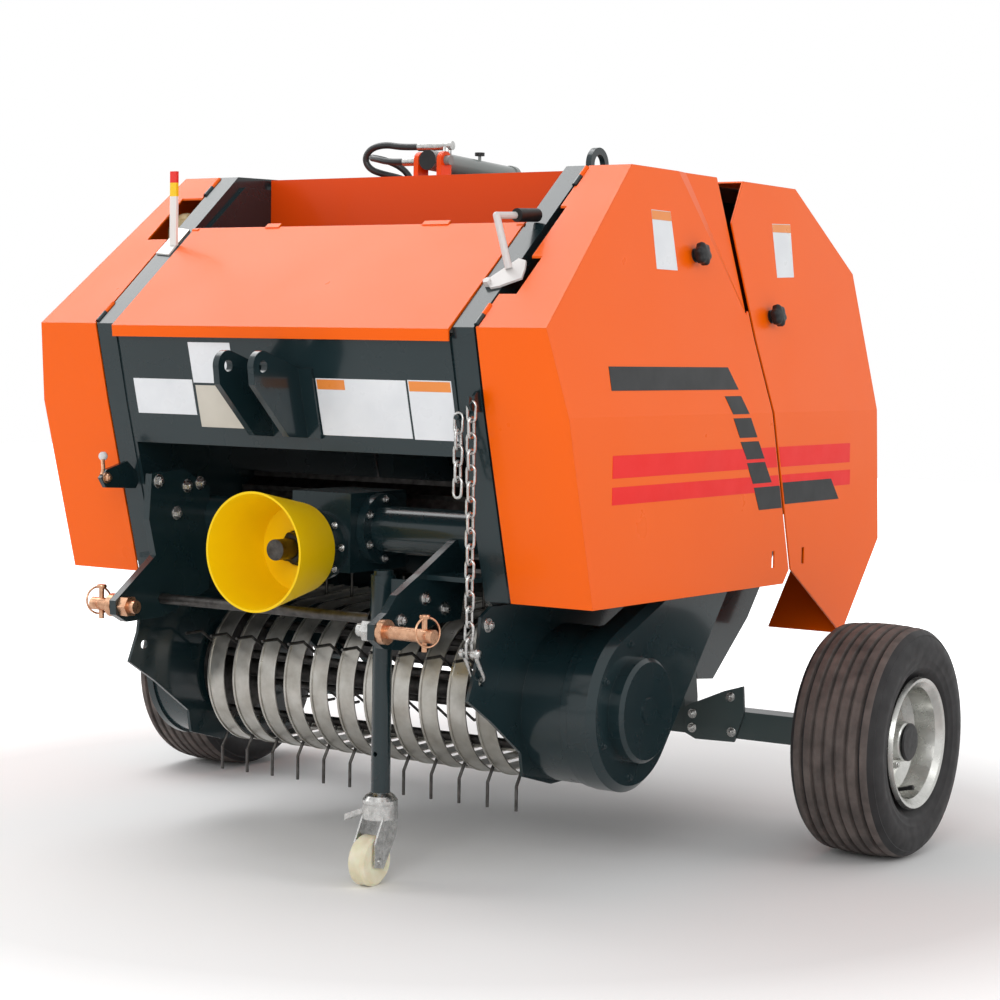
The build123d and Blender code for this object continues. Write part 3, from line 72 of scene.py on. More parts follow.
# Finishes, in metres: how far edges are softened, how high the grain is, how deep light goes in.
EDGE_SAMPLES = 3
PAINT_EDGE = 0.0012
METAL_EDGE = 0.0006
PLAIN_EDGE = 0.0008
SHEET_WAVE = 0.0048
PEEL_DEPTH = 0.00012
SCRATCH_DEPTH = 0.00008
NYLON_DEPTH = 0.004
FILM_GRAIN = 0.00005
BAND_BLUR = 0.0002
WHITE = (1, 1, 1, 1)

# The part's source measures from the side covers' front corner, in millimetres. So do the places below,
# and the sizes are in millimetres too, but for the few that say metres.
ORIGIN_BEHIND_FRONT = 531.0

# Side covers: half width low down, how they lean in above the crease, and where they part, as (y, z).
COVER_OUT = 548.0
LEAN_Z = 770.0
LEAN = 0.1733
SEAM_GAP = 4.0
SEAM = ((797, 487), (716, 776), (684, 896), (657, 1046), (648, 1100))

# Films: how far they stand out and reach in, and how far a stripe ends from the seam's gap.
FILM = 0.35
FILM_SINK = 0.3
STRIPE_END = 3.0

# Red stripes on the right covers: front and rear end, lower and upper edge.
RED_STRIPES = ((165, 1038, 673, 709), (165, 1041, 631, 659))

# Black bars on the right covers, as (y, z). The last runs over the seam: its front and rear ends.
BLACK_BARS = (
    ((169, 811), (596, 811), (567, 849), (169, 849)),
    ((543, 800), (602, 800), (625, 769), (565, 769)),
    ((567, 762), (631, 762), (657, 728), (592, 728)),
    ((595, 721), (662, 721), (686, 690), (619, 690)),
    ((620, 684), (688, 684), (716, 647), (644, 647)),
)
LAST_BAR_FRONT = ((648, 640), (670, 600))
LAST_BAR_REAR = ((958, 645), (993, 606))

# The blank plates on the right covers, with the coloured band along their top.
COVER_PLATES = (
    (
        "front",
        [(371, 1107), (435, 1107), (434, 1009), (364, 1009)],
        [(371, 1106), (434, 1106), (434, 1091), (370, 1091)],
    ),
    (
        "rear",
        [(808, 1107), (882, 1110), (869, 1013), (801, 1010)],
        [(808, 1106), (881, 1109), (879, 1094), (807, 1092)],
    ),
)

# Front panel: y at its crease, z of its upper edge, and y and z of its lower edge.
CHIN_Y = 32.0
PANEL_HIGH_Z = 900.0
PANEL_LOW = (50.0, 702.0)

# Blank plates on the front panel: left and right end, lower and upper edge.
PANEL_WHITES = (
    (-327, -195, 753, 813),
    (-192, -101, 808, 876),
    (70, 250, 728, 821),
    (254, 338, 727, 822),
)
PANEL_BEIGES = ((-189, -60, 733, 804),)
PANEL_HEADERS = ((72, 128, 803, 819), (256, 336, 804, 820))

# Cover knobs: place by y and z, and the profiles of foot and lobed head as (out, radius).
KNOBS = (("front", 502, 1037), ("rear", 756, 939))
KNOB_FOOT = ((-1, 0), (-1, 12), (2, 12), (3, 9), (9, 9), (9, 0))
KNOB_HEAD = ((8, 0), (8, 14), (10, 18), (18, 19), (22, 17), (24, 12), (24.5, 0))
KNOB_LOBES = 6
KNOB_LOBE_DEPTH = 1.6

# Tyres: place and radius, and the side wall from bead to shoulder as (along the axle, radius).
WHEEL_X = 738.5
WHEEL_Y = 775.0
TYRE_R = 203.0
TYRE_STEPS = 144
SIDE_WALL = (
    (-58, 103.6), (-62, 117), (-68, 124), (-72, 128), (-75, 131), (-76.5, 134), (-76.2, 137),
    (-79.5, 143), (-80.4, 146), (-80, 149), (-82, 157), (-82.5, 165), (-81, 175), (-79, 182),
    (-76.5, 186.5), (-76.8, 188.5), (-73, 192.5), (-68, 196.5), (-65, 198),
)

# Tread: it falls away from the middle. Half of each groove is (across from its middle, below the tread).
TREAD_GROOVES = (-52, -31, -10, 10, 31, 52)
TREAD_HALF = 66.0
TREAD_FALL = 5.0
GROOVE = ((4.2, 0.3), (3.3, 2.2), (1.8, 8))

# Where the tread's rubber ends and the side wall's begins, in metres.
TREAD_RUBBER_R = 0.1925
TREAD_RUBBER_HALF = 0.069

# Wheel bolts and valve: the bolts' ring, how far out each stands from the wheel's middle, how far below it
# the valve is and how it leans, and its profile.
WHEEL_BOLTS = 5
WHEEL_BOLT_RING = 60
WHEEL_BOLT_OUT = 16
WHEEL_BOLT = (8.0, 10.5)
VALVE_OUT = 30
VALVE_DROP = 88
VALVE_LEAN = 0.25
VALVE = ((0, 0), (0, 5.5), (8, 5), (10, 3.6), (30, 3.6), (31, 4.4), (40, 4.4), (41, 3), (41, 0))

# Hub trim: how far out it starts from the wheel's middle, in metres, and its profile.
HUB_TRIM_OUT = 0.0552
HUB_TRIM = ((0, 0), (0, 31), (1.5, 33), (5, 33), (7, 30), (8, 0))

# Chains, as the CAD chain lies.
WIRE = 5.0
LINK_W = 20.0
LINK_SLACK = 2.4
LINK_NEST = 1.6
PIN_NEST = 4.7
LINK_BEND_STEPS = 6
LINK_SIDES = 10
CHAIN_LINKS = 16
CHAIN_TOP = (388, 4, 788)
CHAIN_PIN = (358, 52, 392)
SPARE_LINKS = 5
SPARE_INNER = 27.6
SPARE_PIN = (356, 16, 766)

# Bow shackle at the chain's low end: its bow, the eyes at its ends, and its pin with a hexagon head.
SHACKLE_BOW = (84, 345)
SHACKLE_W = 29.0
SHACKLE_WIRE = 7.0
SHACKLE_BEND_STEPS = 8
SHACKLE_EYE_R = 7.5
SHACKLE_EYE_T = 6.8
SHACKLE_PIN_R = 4
SHACKLE_PIN_PAST = 3
SHACKLE_HEAD = ((0, 0), (0, 8), (5, 8), (6, 7), (6, 0))

# How far the bow's legs run past the pin, in metres.
SHACKLE_LEG_PAST = 0.004

# Ball of twine: its place, its size, and how its turns stand out and dip in.
TWINE_X = -436.0
TWINE_Y = 285.0
TWINE_R = 37.0
TWINE_SHELF = 955.0
TWINE_HIGH = 157.0
TWINE_TURNS = 44
TWINE_STEPS = 48
TWINE_INSET = 0.9
TWINE_RIDGE = 0.7
TWINE_DIP = 0.3
TWINE_LEAST_R = 0.5
TWINE_FIRST_STEP = 0.4

# Linch pins through the lower link pins, each with a head and a ring.
LINK_Y = -42.0
LINCH_X = 338
LINCH_TOP = 456
LINCH_LOW = 402
LINCH_R = 4.5
LINCH_HEAD_Z = 454
LINCH_HEAD = ((0, 0), (0, 8), (3, 9), (6, 8), (7, 0))
RING_OUT = 6
RING_Z = 433
RING_AXIS = (0.94, -0.33, 0.1)
RING_R = 23
RING_WIRE = 1.8

# Release lever on the left: its line, its pivot and its ball.
LEVER = ((-360, -20, 645), (-364, -12, 655), (-374, -3, 670))
LEVER_R = 3.5
LEVER_PIVOT = (-356, -12, 641)
LEVER_BOLT = (7, 10)
BALL_AT = (-376, 0, 677)
BALL_R = 8
BALL_STEPS = 10

# Every bolt: how far its washer sinks in and how thick it is, the head's height and the thread's radius
# as shares of the head's radius, and how far the thread stands out.
WASHER_SINK = 1.0
WASHER_T = 1.6
HEAD_HEIGHT = 0.85
THREAD_R = 0.55
THREAD_OUT = 2.2

# Bolts by place. Each kind is (the head's radius over its corners, the washer's radius).
HITCH_LEFT_FACE = -288
HITCH_LEFT_SPOTS = ((44, 636), (119, 625), (153, 629), (92, 579))
HITCH_LEFT_BOLT = (7.5, 12)
HITCH_RIGHT_FACE = 256
HITCH_RIGHT_SPOTS = ((10, 440), (75, 470), (130, 450))
HITCH_RIGHT_BOLT = (7, 11)
SIDE_SPOT = (361, 101, 433)
SIDE_BOLT = (8, 12)
PTO_Z = 537.0
GEAR_FRONT_Y = 120
GEAR_FRONT_RING = 51.5
GEAR_FRONT_BOLT = (4.4, 6.2)
GEAR_SIDE_X = 78.3
GEAR_SIDE_YZ = (205, 566)
GEAR_SIDE_RING = 50
GEAR_SIDE_BOLT = (5, 7)
AXLE_FACE_Y = 744
AXLE_SPOTS = ((462, 254), (466, 190), (385, 190), (385, 216))
AXLE_BOLT = (6.5, 9)
REEL_Y = 335.0
REEL_Z = 283.0
CHAIN_COVER_FACE = 500
CHAIN_COVER_ANGLES = (100, 150, 205, 262)
CHAIN_COVER_RING = 112
CHAIN_COVER_BOLT = (4.5, 6.5)

# Lobed collar round the drive shaft, as (forward, radius).
COLLAR_Y = 59
COLLAR = ((-4, 0), (-4, 22), (-2, 25), (9, 25), (11, 22), (11, 0))
COLLAR_LOBES = 6
COLLAR_LOBE_DEPTH = 2.2

# The hydraulic hoses: radius and routes, as in the part's source, and lengths in metres.
HOSE_R = 6.0
HOSE_SIDES = 20
HOSE_UPPER = (
    (-62, 484.966, 1236.245),
    (-98, 484.966, 1236.245),
    (-138, 485, 1243),
    (-172, 486, 1237),
    (-187, 488, 1218),
    (-177, 492, 1199),
    (-149, 497, 1190),
    (-116, 503, 1183),
    (-86, 508, 1170),
    (-70, 511, 1148),
    (-70, 511, 1120),
)
HOSE_LOWER = (
    (-62, 440, 1206),
    (-94, 440, 1206),
    (-126, 444, 1213),
    (-149, 457, 1217),
    (-158, 481, 1219),
    (-150, 505, 1216),
    (-129, 518, 1206),
    (-110, 523, 1189),
    (-102, 524, 1165),
    (-100, 524, 1142),
    (-100, 524, 1120),
)

# Corners nearer than this, in metres, are one.
WELD = 1e-7

# Directions.
TO_RIGHT = (1, 0, 0)
TO_FRONT = (0, -1, 0)
TO_TOP = (0, 0, 1)


def at(x, y, z):
    """A point measured from the covers' front corner in millimetres, in the frame's metres."""
    return Vector((x, y - ORIGIN_BEHIND_FRONT, z)) / 1000


def srgb(red, green, blue):
    """A colour as seen on a screen, from 0 to 255, as a linear colour."""
    linear = []
    for value in (red, green, blue):
        share = value / 255
        linear.append(share / 12.92 if share <= 0.04045 else ((share + 0.055) / 1.055) ** 2.4)
    return (*linear, 1.0)


def make_camera():
    data = bpy.data.cameras.new("camera")
    data.lens = CAMERA_LENS
    data.sensor_width = SENSOR
    camera = bpy.data.objects.new("camera", data)
    bpy.context.scene.collection.objects.link(camera)
    turn = Matrix.Rotation(math.radians(CAMERA_YAW), 4, "Z")
    tip = Matrix.Rotation(math.radians(90 + CAMERA_PITCH), 4, "X")
    roll = Matrix.Rotation(math.radians(CAMERA_ROLL), 4, "Z")
    camera.matrix_world = Matrix.Translation(CAMERA_AT) @ turn @ tip @ roll
    bpy.context.scene.camera = camera


def area_light(name, place, target, size, power):
    data = bpy.data.lights.new(name, "AREA")
    data.shape = "RECTANGLE"
    data.size, data.size_y = size
    data.energy = power
    light = bpy.data.objects.new(name, data)
    bpy.context.scene.collection.objects.link(light)
    light.location = place
    light.rotation_euler = (Vector(target) - Vector(place)).to_track_quat("-Z", "Y").to_euler()


class Shader:
    """A node tree for one material, with short calls for the nodes that the finishes share."""

    def __init__(self, name):
        self.material = bpy.data.materials.new(name)
        self.material.use_nodes = True
        self.tree = self.material.node_tree
        self.bsdf = self.tree.nodes["Principled BSDF"]

    def node(self, kind, **values):
        node = self.tree.nodes.new(kind)
        for key, value in values.items():
            setattr(node, key, value)
        return node

    def link(self, source, target):
        self.tree.links.new(source, target)

    def place(self):
        return self.node("ShaderNodeTexCoord").outputs["Object"]

    def noise(self, scale, detail=3.0, rough=0.5):
        noise = self.node("ShaderNodeTexNoise")
        for key, value in (("Scale", scale), ("Detail", detail), ("Roughness", rough)):
            noise.inputs[key].default_value = value
        self.link(self.place(), noise.inputs["Vector"])
        return noise.outputs["Fac"]

    def span(self, source, low, high, to_low=0.0, to_high=1.0):
        span = self.node("ShaderNodeMapRange")
        for key, value in zip(("From Min", "From Max", "To Min", "To Max"), (low, high, to_low, to_high)):
            span.inputs[key].default_value = value
        self.link(source, span.inputs["Value"])
        return span.outputs["Result"]

    def blend(self, share, first, second):
        mix = self.node("ShaderNodeMix", data_type="RGBA")
        self.link(share, mix.inputs["Factor"])
        for socket, colour in (("A", first), ("B", second)):
            target = [s for s in mix.inputs if s.name == socket and s.type == "RGBA"][0]
            if isinstance(colour, tuple):
                target.default_value = colour
            else:
                self.link(colour, target)
        return [s for s in mix.outputs if s.type == "RGBA"][0]

    def soften(self, radius):
        """Normals that are rounded over the edges."""
        edges = self.node("ShaderNodeBevel", samples=EDGE_SAMPLES)
        edges.inputs["Radius"].default_value = radius
        return edges.outputs["Normal"]

    def bump(self, height, distance, strength, under):
        bump = self.node("ShaderNodeBump")
        bump.inputs["Distance"].default_value = distance
        bump.inputs["Strength"].default_value = strength
        self.link(height, bump.inputs["Height"])
        self.link(under, bump.inputs["Normal"])
        return bump.outputs["Normal"]

    def set(self, **values):
        for key, value in values.items():
            self.bsdf.inputs[key.replace("_", " ")].default_value = value

    def join(self, source, target):
        self.link(source, self.bsdf.inputs[target])


# The bale indicator's bands: the height where each begins, in metres, and its colour.
STICK_BANDS = ((1.133, srgb(252, 208, 0)), (1.157, srgb(236, 30, 16)))


def paint(name, colour, shade, roughness, coat):
    """Sprayed enamel on sheet steel: orange peel, slow waves of the sheet, softened edges."""
    s = Shader(name)
    tone = s.span(s.noise(scale=2.2, detail=4.0), 0.2, 0.8)
    s.join(s.blend(tone, colour, shade), "Base Color")
    gloss = s.noise(scale=9.0, detail=4.0)
    s.join(s.span(gloss, 0.15, 0.85, roughness - 0.05, roughness + 0.07), "Roughness")
    s.set(Coat_Weight=coat, Coat_Roughness=0.12, Specular_IOR_Level=0.2)
    edges = s.soften(PAINT_EDGE)
    waves = s.bump(s.noise(scale=3.5, detail=1.0), SHEET_WAVE, 0.06, edges)
    s.join(s.bump(s.noise(scale=420.0, detail=1.0), PEEL_DEPTH, 0.25, waves), "Normal")
    return s.material


def metal(name, colour, shade, roughness, grain):
    """Bare, plated or galvanised steel with cloudy tone and fine scratches."""
    s = Shader(name)
    cloud = s.span(s.noise(grain, detail=4.0, rough=0.6), 0.3, 0.72)
    s.join(s.blend(cloud, colour, shade), "Base Color")
    gloss = s.noise(grain * 1.7)
    s.join(s.span(gloss, 0.25, 0.75, roughness - 0.08, roughness + 0.12), "Roughness")
    s.set(Metallic=1.0)
    edges = s.soften(METAL_EDGE)
    scratches = s.noise(scale=900.0, detail=2.0, rough=0.6)
    s.join(s.bump(scratches, SCRATCH_DEPTH, 0.3, edges), "Normal")
    return s.material


def plain(name, colour, shade, roughness, grain, fine=600.0, depth=0.0001, coat=0.0, soft=0.0):
    """Moulded plastic, rubber, twine and the like: mottled tone with a fine grain."""
    s = Shader(name)
    tone = s.span(s.noise(grain, detail=4.0), 0.3, 0.7)
    s.join(s.blend(tone, colour, shade), "Base Color")
    gloss = s.noise(grain * 2)
    s.join(s.span(gloss, 0.3, 0.7, roughness - 0.06, roughness + 0.08), "Roughness")
    s.set(Coat_Weight=coat, Coat_Roughness=0.15, Specular_IOR_Level=0.3)
    if soft:
        s.set(Subsurface_Weight=soft, Subsurface_Scale=NYLON_DEPTH)
    edges = s.soften(PLAIN_EDGE)
    s.join(s.bump(s.noise(fine, detail=2.0), depth, 0.4, edges), "Normal")
    return s.material


def film(name, colour, shade, roughness, coat=0.0):
    """Thin coloured sheet, nearly smooth."""
    return plain(name, colour, shade, roughness, grain=12.0, fine=500.0, depth=FILM_GRAIN, coat=coat)


def banded(name, low, bands):
    """Enamel in bands by height: the lowest colour, then (height in metres, colour) upwards."""
    s = Shader(name)
    split = s.node("ShaderNodeSeparateXYZ")
    s.link(s.place(), split.inputs["Vector"])
    colour = low
    for height, above in bands:
        share = s.span(split.outputs["Z"], height - BAND_BLUR, height + BAND_BLUR)
        colour = s.blend(share, colour, above)
    s.join(colour, "Base Color")
    s.join(s.span(s.noise(scale=90.0), 0.3, 0.7, 0.3, 0.42), "Roughness")
    s.set(Coat_Weight=0.1, Coat_Roughness=0.15)
    return s.material


def make_materials():
    """Every finish on the machine, by name."""
    return {
        "orange": paint("orange_enamel", srgb(255, 104, 0), srgb(252, 99, 0), 0.3, 0.08),
        # The top beam: the same orange paint as the rest, made deeper and redder as painted shade.
        "orange_painted_shade": paint("orange_beam_painted_shade", srgb(250, 80, 0), srgb(244, 74, 0), 0.34, 0.12),
        "ram_grey": paint("ram_enamel", srgb(150, 156, 154), srgb(128, 134, 132), 0.3, 0.3),
        "stick": banded("stick_bands", srgb(236, 236, 232), STICK_BANDS),
        "white_steel": paint("white_enamel", srgb(228, 224, 222), srgb(210, 206, 204), 0.34, 0.2),
        "twine": plain("twine", srgb(226, 208, 166), srgb(190, 166, 120), 0.85, 160.0, 1400.0, 0.0004),
        "green": paint("green_enamel", srgb(27, 46, 50), srgb(20, 37, 41), 0.26, 0.6),
        "axle_grey": paint("axle_enamel", srgb(72, 84, 84), srgb(60, 70, 70), 0.35, 0.2),
        "yellow": plain("guard_plastic", srgb(255, 214, 0), srgb(250, 205, 0), 0.42, 8.0, 300.0),
        "galvanised": metal("galvanised", srgb(196, 194, 188), srgb(160, 156, 148), 0.34, 25.0),
        "zinc": metal("bright_zinc", srgb(214, 214, 212), srgb(168, 168, 166), 0.26, 120.0),
        "brassy": metal("yellow_zinc", srgb(222, 178, 146), srgb(186, 138, 108), 0.3, 90.0),
        "steel": metal("dark_steel", srgb(96, 94, 92), srgb(58, 56, 55), 0.4, 70.0),
        "chrome": metal("chrome", srgb(228, 230, 230), srgb(210, 212, 212), 0.12, 20.0),
        "rim": metal("rim_zinc", srgb(214, 214, 210), srgb(176, 176, 172), 0.24, 18.0),
        "rubber": plain("side_rubber", srgb(44, 43, 44), srgb(33, 32, 33), 0.55, 22.0, 500.0, 0.0002),
        "tread": plain("tread_rubber", srgb(104, 95, 91), srgb(72, 66, 64), 0.75, 26.0, 420.0, 0.0004),
        "hose": plain("hose_rubber", srgb(48, 52, 54), srgb(36, 40, 42), 0.42, 50.0, 900.0, 0.0001, 0.2),
        "black": plain("black_plastic", srgb(30, 30, 31), srgb(22, 22, 23), 0.38, 60.0),
        "nylon": plain(
            "nylon", srgb(240, 234, 210), srgb(226, 216, 184), 0.35, 40.0, 500.0, coat=0.1, soft=0.3
        ),
        "pedal": plain("pedal_nylon", srgb(232, 232, 232), srgb(216, 216, 218), 0.4, 40.0),
        "black_film": film("black_film", srgb(28, 31, 33), srgb(22, 25, 27), 0.36, 0.05),
        "red_film": film("red_film", srgb(250, 16, 4), srgb(243, 12, 2), 0.36, 0.05),
        "white_film": film("white_film", srgb(238, 240, 243), srgb(226, 229, 233), 0.3, 0.3),
        "header_film": film("header_film", srgb(246, 150, 70), srgb(238, 140, 60), 0.3, 0.3),
        "beige_film": film("beige_film", srgb(214, 208, 196), srgb(200, 194, 182), 0.34),
    }


# The CAD nodes and their finishes.
NODE_FINISH = {
    "frame_side_right": "green",
    "frame_side_left": "green",
    "front_panel": "green",
    "hood": "orange",
    # The top beam gets the orange made deeper as painted shade.
    "top_beam": "orange_painted_shade",
    "top_link_ears": "green",
    "hitch_plate_left": "green",
    "hitch_plate_right": "green",
    "link_pin_left": "brassy",
    "link_pin_right": "brassy",
    "brace_rod": "steel",
    "gearbox": "green",
    "cross_tubes": "green",
    "pto_guard": "yellow",
    "pto_shaft": "steel",
    "jack_sleeve": "green",
    "jack_post": "green",
    "caster_fork": "zinc",
    "caster_wheel": "nylon",
    "axle": "axle_grey",
    "rim_right": "rim",
    "rim_left": "rim",
    "tyre_right": "rubber",
    "tyre_left": "rubber",
    "pickup_side_right": "green",
    "pickup_side_left": "green",
    "chain_cover": "green",
    "stripper_bands": "galvanised",
    "pickup_reel": "steel",
    "rollers_front": "steel",
    "rollers_rear": "steel",
    "tailgate": "green",
    "ram_barrel": "ram_grey",
    "ram_rod": "chrome",
    "door_front_right": "orange",
    "door_front_left": "orange",
    "door_rear_right": "orange",
    "door_rear_left": "orange",
    "hose_upper": "hose",
    "hose_lower": "hose",
    "lift_chains": "zinc",
    "crank_handle": "white_steel",
    "bale_indicator": "galvanised",
    "lifting_eye": "green",
    "twine_ball": "twine",
}

# Nodes of several finishes: a material and the place where it shows, in mm from the front corner.
PART_FINISH = {
    "crank_handle": (
        ("black", lambda x, y, z: y > 149 and z > 1072),
        ("white_steel", lambda x, y, z: z > 1014),
    ),
    "bale_indicator": (("stick", lambda x, y, z: y < 175),),
    "ram_barrel": (
        ("black", lambda x, y, z: y < 426 and abs(x) < 20),
        ("zinc", lambda x, y, z: x < -19),
        ("black", lambda x, y, z: abs(x) < 10 and z > 1226 and y > 570),
        ("zinc", lambda x, y, z: abs(x) < 13 and z > 1224 and y < 500),
    ),
    "jack_post": (("zinc", lambda x, y, z: z < 151),),
    "link_pin_right": (("zinc", lambda x, y, z: x < 240),),
}


def make_floor():
    """A pale floor that glows far out, for the camera only, so that it runs into the surround."""
    half = FLOOR_HALF
    mesh = bpy.data.meshes.new("floor")
    corners = [(-half, -half, 0), (half, -half, 0), (half, half, 0), (-half, half, 0)]
    mesh.from_pydata(corners, [], [(0, 1, 2, 3)])
    floor = bpy.data.objects.new("floor", mesh)
    bpy.context.scene.collection.objects.link(floor)
    s = Shader("floor")
    tone = s.noise(scale=0.8)
    s.join(s.blend(tone, srgb(250, 250, 250), srgb(245, 245, 245)), "Base Color")
    s.set(Roughness=0.9, Specular_IOR_Level=0.1)
    far = s.node("ShaderNodeVectorMath", operation="LENGTH")
    s.link(s.place(), far.inputs[0])
    seen = s.node("ShaderNodeLightPath")
    glow = s.node("ShaderNodeMath", operation="MULTIPLY")
    s.link(s.span(far.outputs["Value"], *FLOOR_GLOW), glow.inputs[0])
    s.link(seen.outputs["Is Camera Ray"], glow.inputs[1])
    s.join(glow.outputs["Value"], "Emission Strength")
    s.set(Emission_Color=WHITE)
    mesh.materials.append(s.material)


def make_surround():
    """A surround that is white to the camera and in reflections, and lights the machine more dimly."""
    world = bpy.data.worlds.new("surround")
    bpy.context.scene.world = world
    world.use_nodes = True
    tree = world.node_tree
    background = tree.nodes["Background"]
    background.inputs["Color"].default_value = WHITE
    path = tree.nodes.new("ShaderNodeLightPath")
    seen = tree.nodes.new("ShaderNodeMath")
    seen.operation = "MAXIMUM"
    tree.links.new(path.outputs["Is Camera Ray"], seen.inputs[0])
    tree.links.new(path.outputs["Is Glossy Ray"], seen.inputs[1])
    strength = tree.nodes.new("ShaderNodeMapRange")
    strength.inputs["To Min"].default_value = SURROUND_LIGHT
    strength.inputs["To Max"].default_value = 1.0
    tree.links.new(seen.outputs["Value"], strength.inputs["Value"])
    tree.links.new(strength.outputs["Result"], background.inputs["Strength"])


def make_stage():
    """The floor, the surround, the lights and the way that colours are shown."""
    make_floor()
    make_surround()
    bpy.context.scene.view_settings.view_transform = "Standard"
    for light in LIGHTS:
        area_light(*light)


def add_piece(name, bm, materials, body, sharp_past):
    """A mesh object from a bmesh, in the frame, with edges sharp past an angle in degrees.

    It rides on a body. A piece that bends between two bodies is given none here."""
    bmesh.ops.remove_doubles(bm, verts=bm.verts, dist=WELD)
    bmesh.ops.recalc_face_normals(bm, faces=bm.faces)
    mesh = bpy.data.meshes.new(name)
    bm.to_mesh(mesh)
    bm.free()
    for material in [materials] if isinstance(materials, str) else materials:
        mesh.materials.append(finish[material])
    piece = bpy.data.objects.new(name, mesh)
    bpy.context.scene.collection.objects.link(piece)
    mesh.shade_smooth()
    mesh.set_sharp_from_angle(angle=math.radians(sharp_past))
    if body:
        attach(piece, body)
    return piece


def around(axis):
    """An axis at unit length, and two directions square to it and to each other."""
    axis = Vector(axis).normalized()
    side = axis.orthogonal().normalized()
    return axis, side, axis.cross(side)


def turned(reach, angle):
    """How far across and up a point lies from a centre, at a reach and an angle in degrees."""
    return reach * math.cos(math.radians(angle)), reach * math.sin(math.radians(angle))


def lathe(bm, profile, centre, axis, steps, lobes=0, depth=0.0):
    """Turns a closed profile of (distance along the axis, radius), in mm, round an axis.

    The centre is in metres. Lobes make the radius swell and shrink by depth that many times a turn."""
    axis, side, other = around(axis)
    rings = []
    for step in range(steps):
        angle = 2 * math.pi * step / steps
        out = side * math.cos(angle) + other * math.sin(angle)
        swell = depth * math.cos(lobes * angle) if lobes else 0.0
        ring = []
        for along, radius in profile:
            reach = radius + swell if radius > 2 * depth else radius
            ring.append(bm.verts.new(Vector(centre) + axis * along / 1000 + out * reach / 1000))
        rings.append(ring)
    for step in range(steps):
        first, second = rings[step], rings[(step + 1) % steps]
        for index in range(len(profile)):
            after = (index + 1) % len(profile)
            if profile[index][1] == 0 and profile[after][1] == 0:
                continue
            corners = [first[index], first[after], second[after], second[index]]
            if profile[index][1] == 0:
                corners.pop()
            elif profile[after][1] == 0:
                corners.pop(2)
            bm.faces.new(corners)


def tube(bm, points, radius, sides, closed=False):
    """A round wire through points, all in metres but the radius, which is in mm."""
    points = [Vector(point) for point in points]
    count = len(points)
    rings = []
    side = None
    for index, point in enumerate(points):
        before = points[index - 1] if closed else points[max(index - 1, 0)]
        after = points[(index + 1) % count] if closed else points[min(index + 1, count - 1)]
        along = (after - before).normalized()
        side = along.orthogonal() if side is None else side - along * side.dot(along)
        side.normalize()
        up = along.cross(side)
        ring = []
        for step in range(sides):
            angle = 2 * math.pi * step / sides
            out = side * math.cos(angle) + up * math.sin(angle)
            ring.append(bm.verts.new(point + out * radius / 1000))
        rings.append(ring)
    for index in range(count if closed else count - 1):
        first, second = rings[index], rings[(index + 1) % count]
        for step in range(sides):
            after = (step + 1) % sides
            bm.faces.new((first[step], first[after], second[after], second[step]))
    if not closed:
        bm.faces.new(rings[0])
        bm.faces.new(rings[-1])


def circle(centre, axis, radius, steps):
    """Points round a circle: centre in metres, radius in mm."""
    _, side, other = around(axis)
    points = []
    for step in range(steps):
        angle = 2 * math.pi * step / steps
        points.append(Vector(centre) + (side * math.cos(angle) + other * math.sin(angle)) * radius / 1000)
    return points


def bolt(bm, centre, axis, size, washer):
    """A hexagon head on its washer, with the stub of its thread; its seat is at centre.

    Size is the head's radius over its corners, and washer the washer's radius, in mm."""
    seat = WASHER_T
    disc = [(-WASHER_SINK, 0), (-WASHER_SINK, washer), (seat - 0.4, washer), (seat, washer - 0.5), (seat, 0)]
    lathe(bm, disc, centre, axis, steps=20)
    top = seat + size * HEAD_HEIGHT
    head = [(seat - 0.2, 0), (seat - 0.2, size), (top - 0.8, size), (top, size * 0.86), (top, 0)]
    lathe(bm, head, centre, axis, steps=6)
    stub = size * THREAD_R
    end = top + THREAD_OUT
    thread = [(top - 1, 0), (top - 1, stub), (top + 1.6, stub), (end, stub * 0.8), (end, 0)]
    lathe(bm, thread, centre, axis, steps=12)


def films(name, outlines, place, material, body, proud=FILM):
    """Thin stuck-on sheets: outlines in (across, up), folded at the crease they cross."""
    bm = bmesh.new()
    for outline in outlines:
        low = [bm.verts.new((u, v, -FILM_SINK)) for u, v in outline]
        high = [bm.verts.new((u, v, proud)) for u, v in outline]
        bm.faces.new(low)
        bm.faces.new(high[::-1])
        for index in range(len(outline)):
            after = (index + 1) % len(outline)
            bm.faces.new((low[index], low[after], high[after], high[index]))
    geometry = bm.verts[:] + bm.edges[:] + bm.faces[:]
    bmesh.ops.bisect_plane(bm, geom=geometry, plane_co=(0, LEAN_Z, 0), plane_no=(0, 1, 0))
    for vert in bm.verts:
        vert.co = place(*vert.co)
    return add_piece(name, bm, material, body, sharp_past=20)


def right_cover(y, z, proud):
    """A point that stands proud of the right covers."""
    return at(COVER_OUT - LEAN * max(z - LEAN_Z, 0) + proud, y, z)


def front_face(x, z, proud):
    """A point that stands proud of the front panel, above or below its crease."""
    if z > LEAN_Z:
        return at(x, CHIN_Y * (PANEL_HIGH_Z - z) / (PANEL_HIGH_Z - LEAN_Z) - proud, z)
    return at(x, CHIN_Y + (PANEL_LOW[0] - CHIN_Y) * (LEAN_Z - z) / (LEAN_Z - PANEL_LOW[1]) - proud, z)


def seam_y(z):
    """Where the covers part at a height."""
    for (y0, z0), (y1, z1) in zip(SEAM, SEAM[1:]):
        if z <= z1:
            return y0 + (y1 - y0) * (z - z0) / (z1 - z0)
    return SEAM[-1][0]


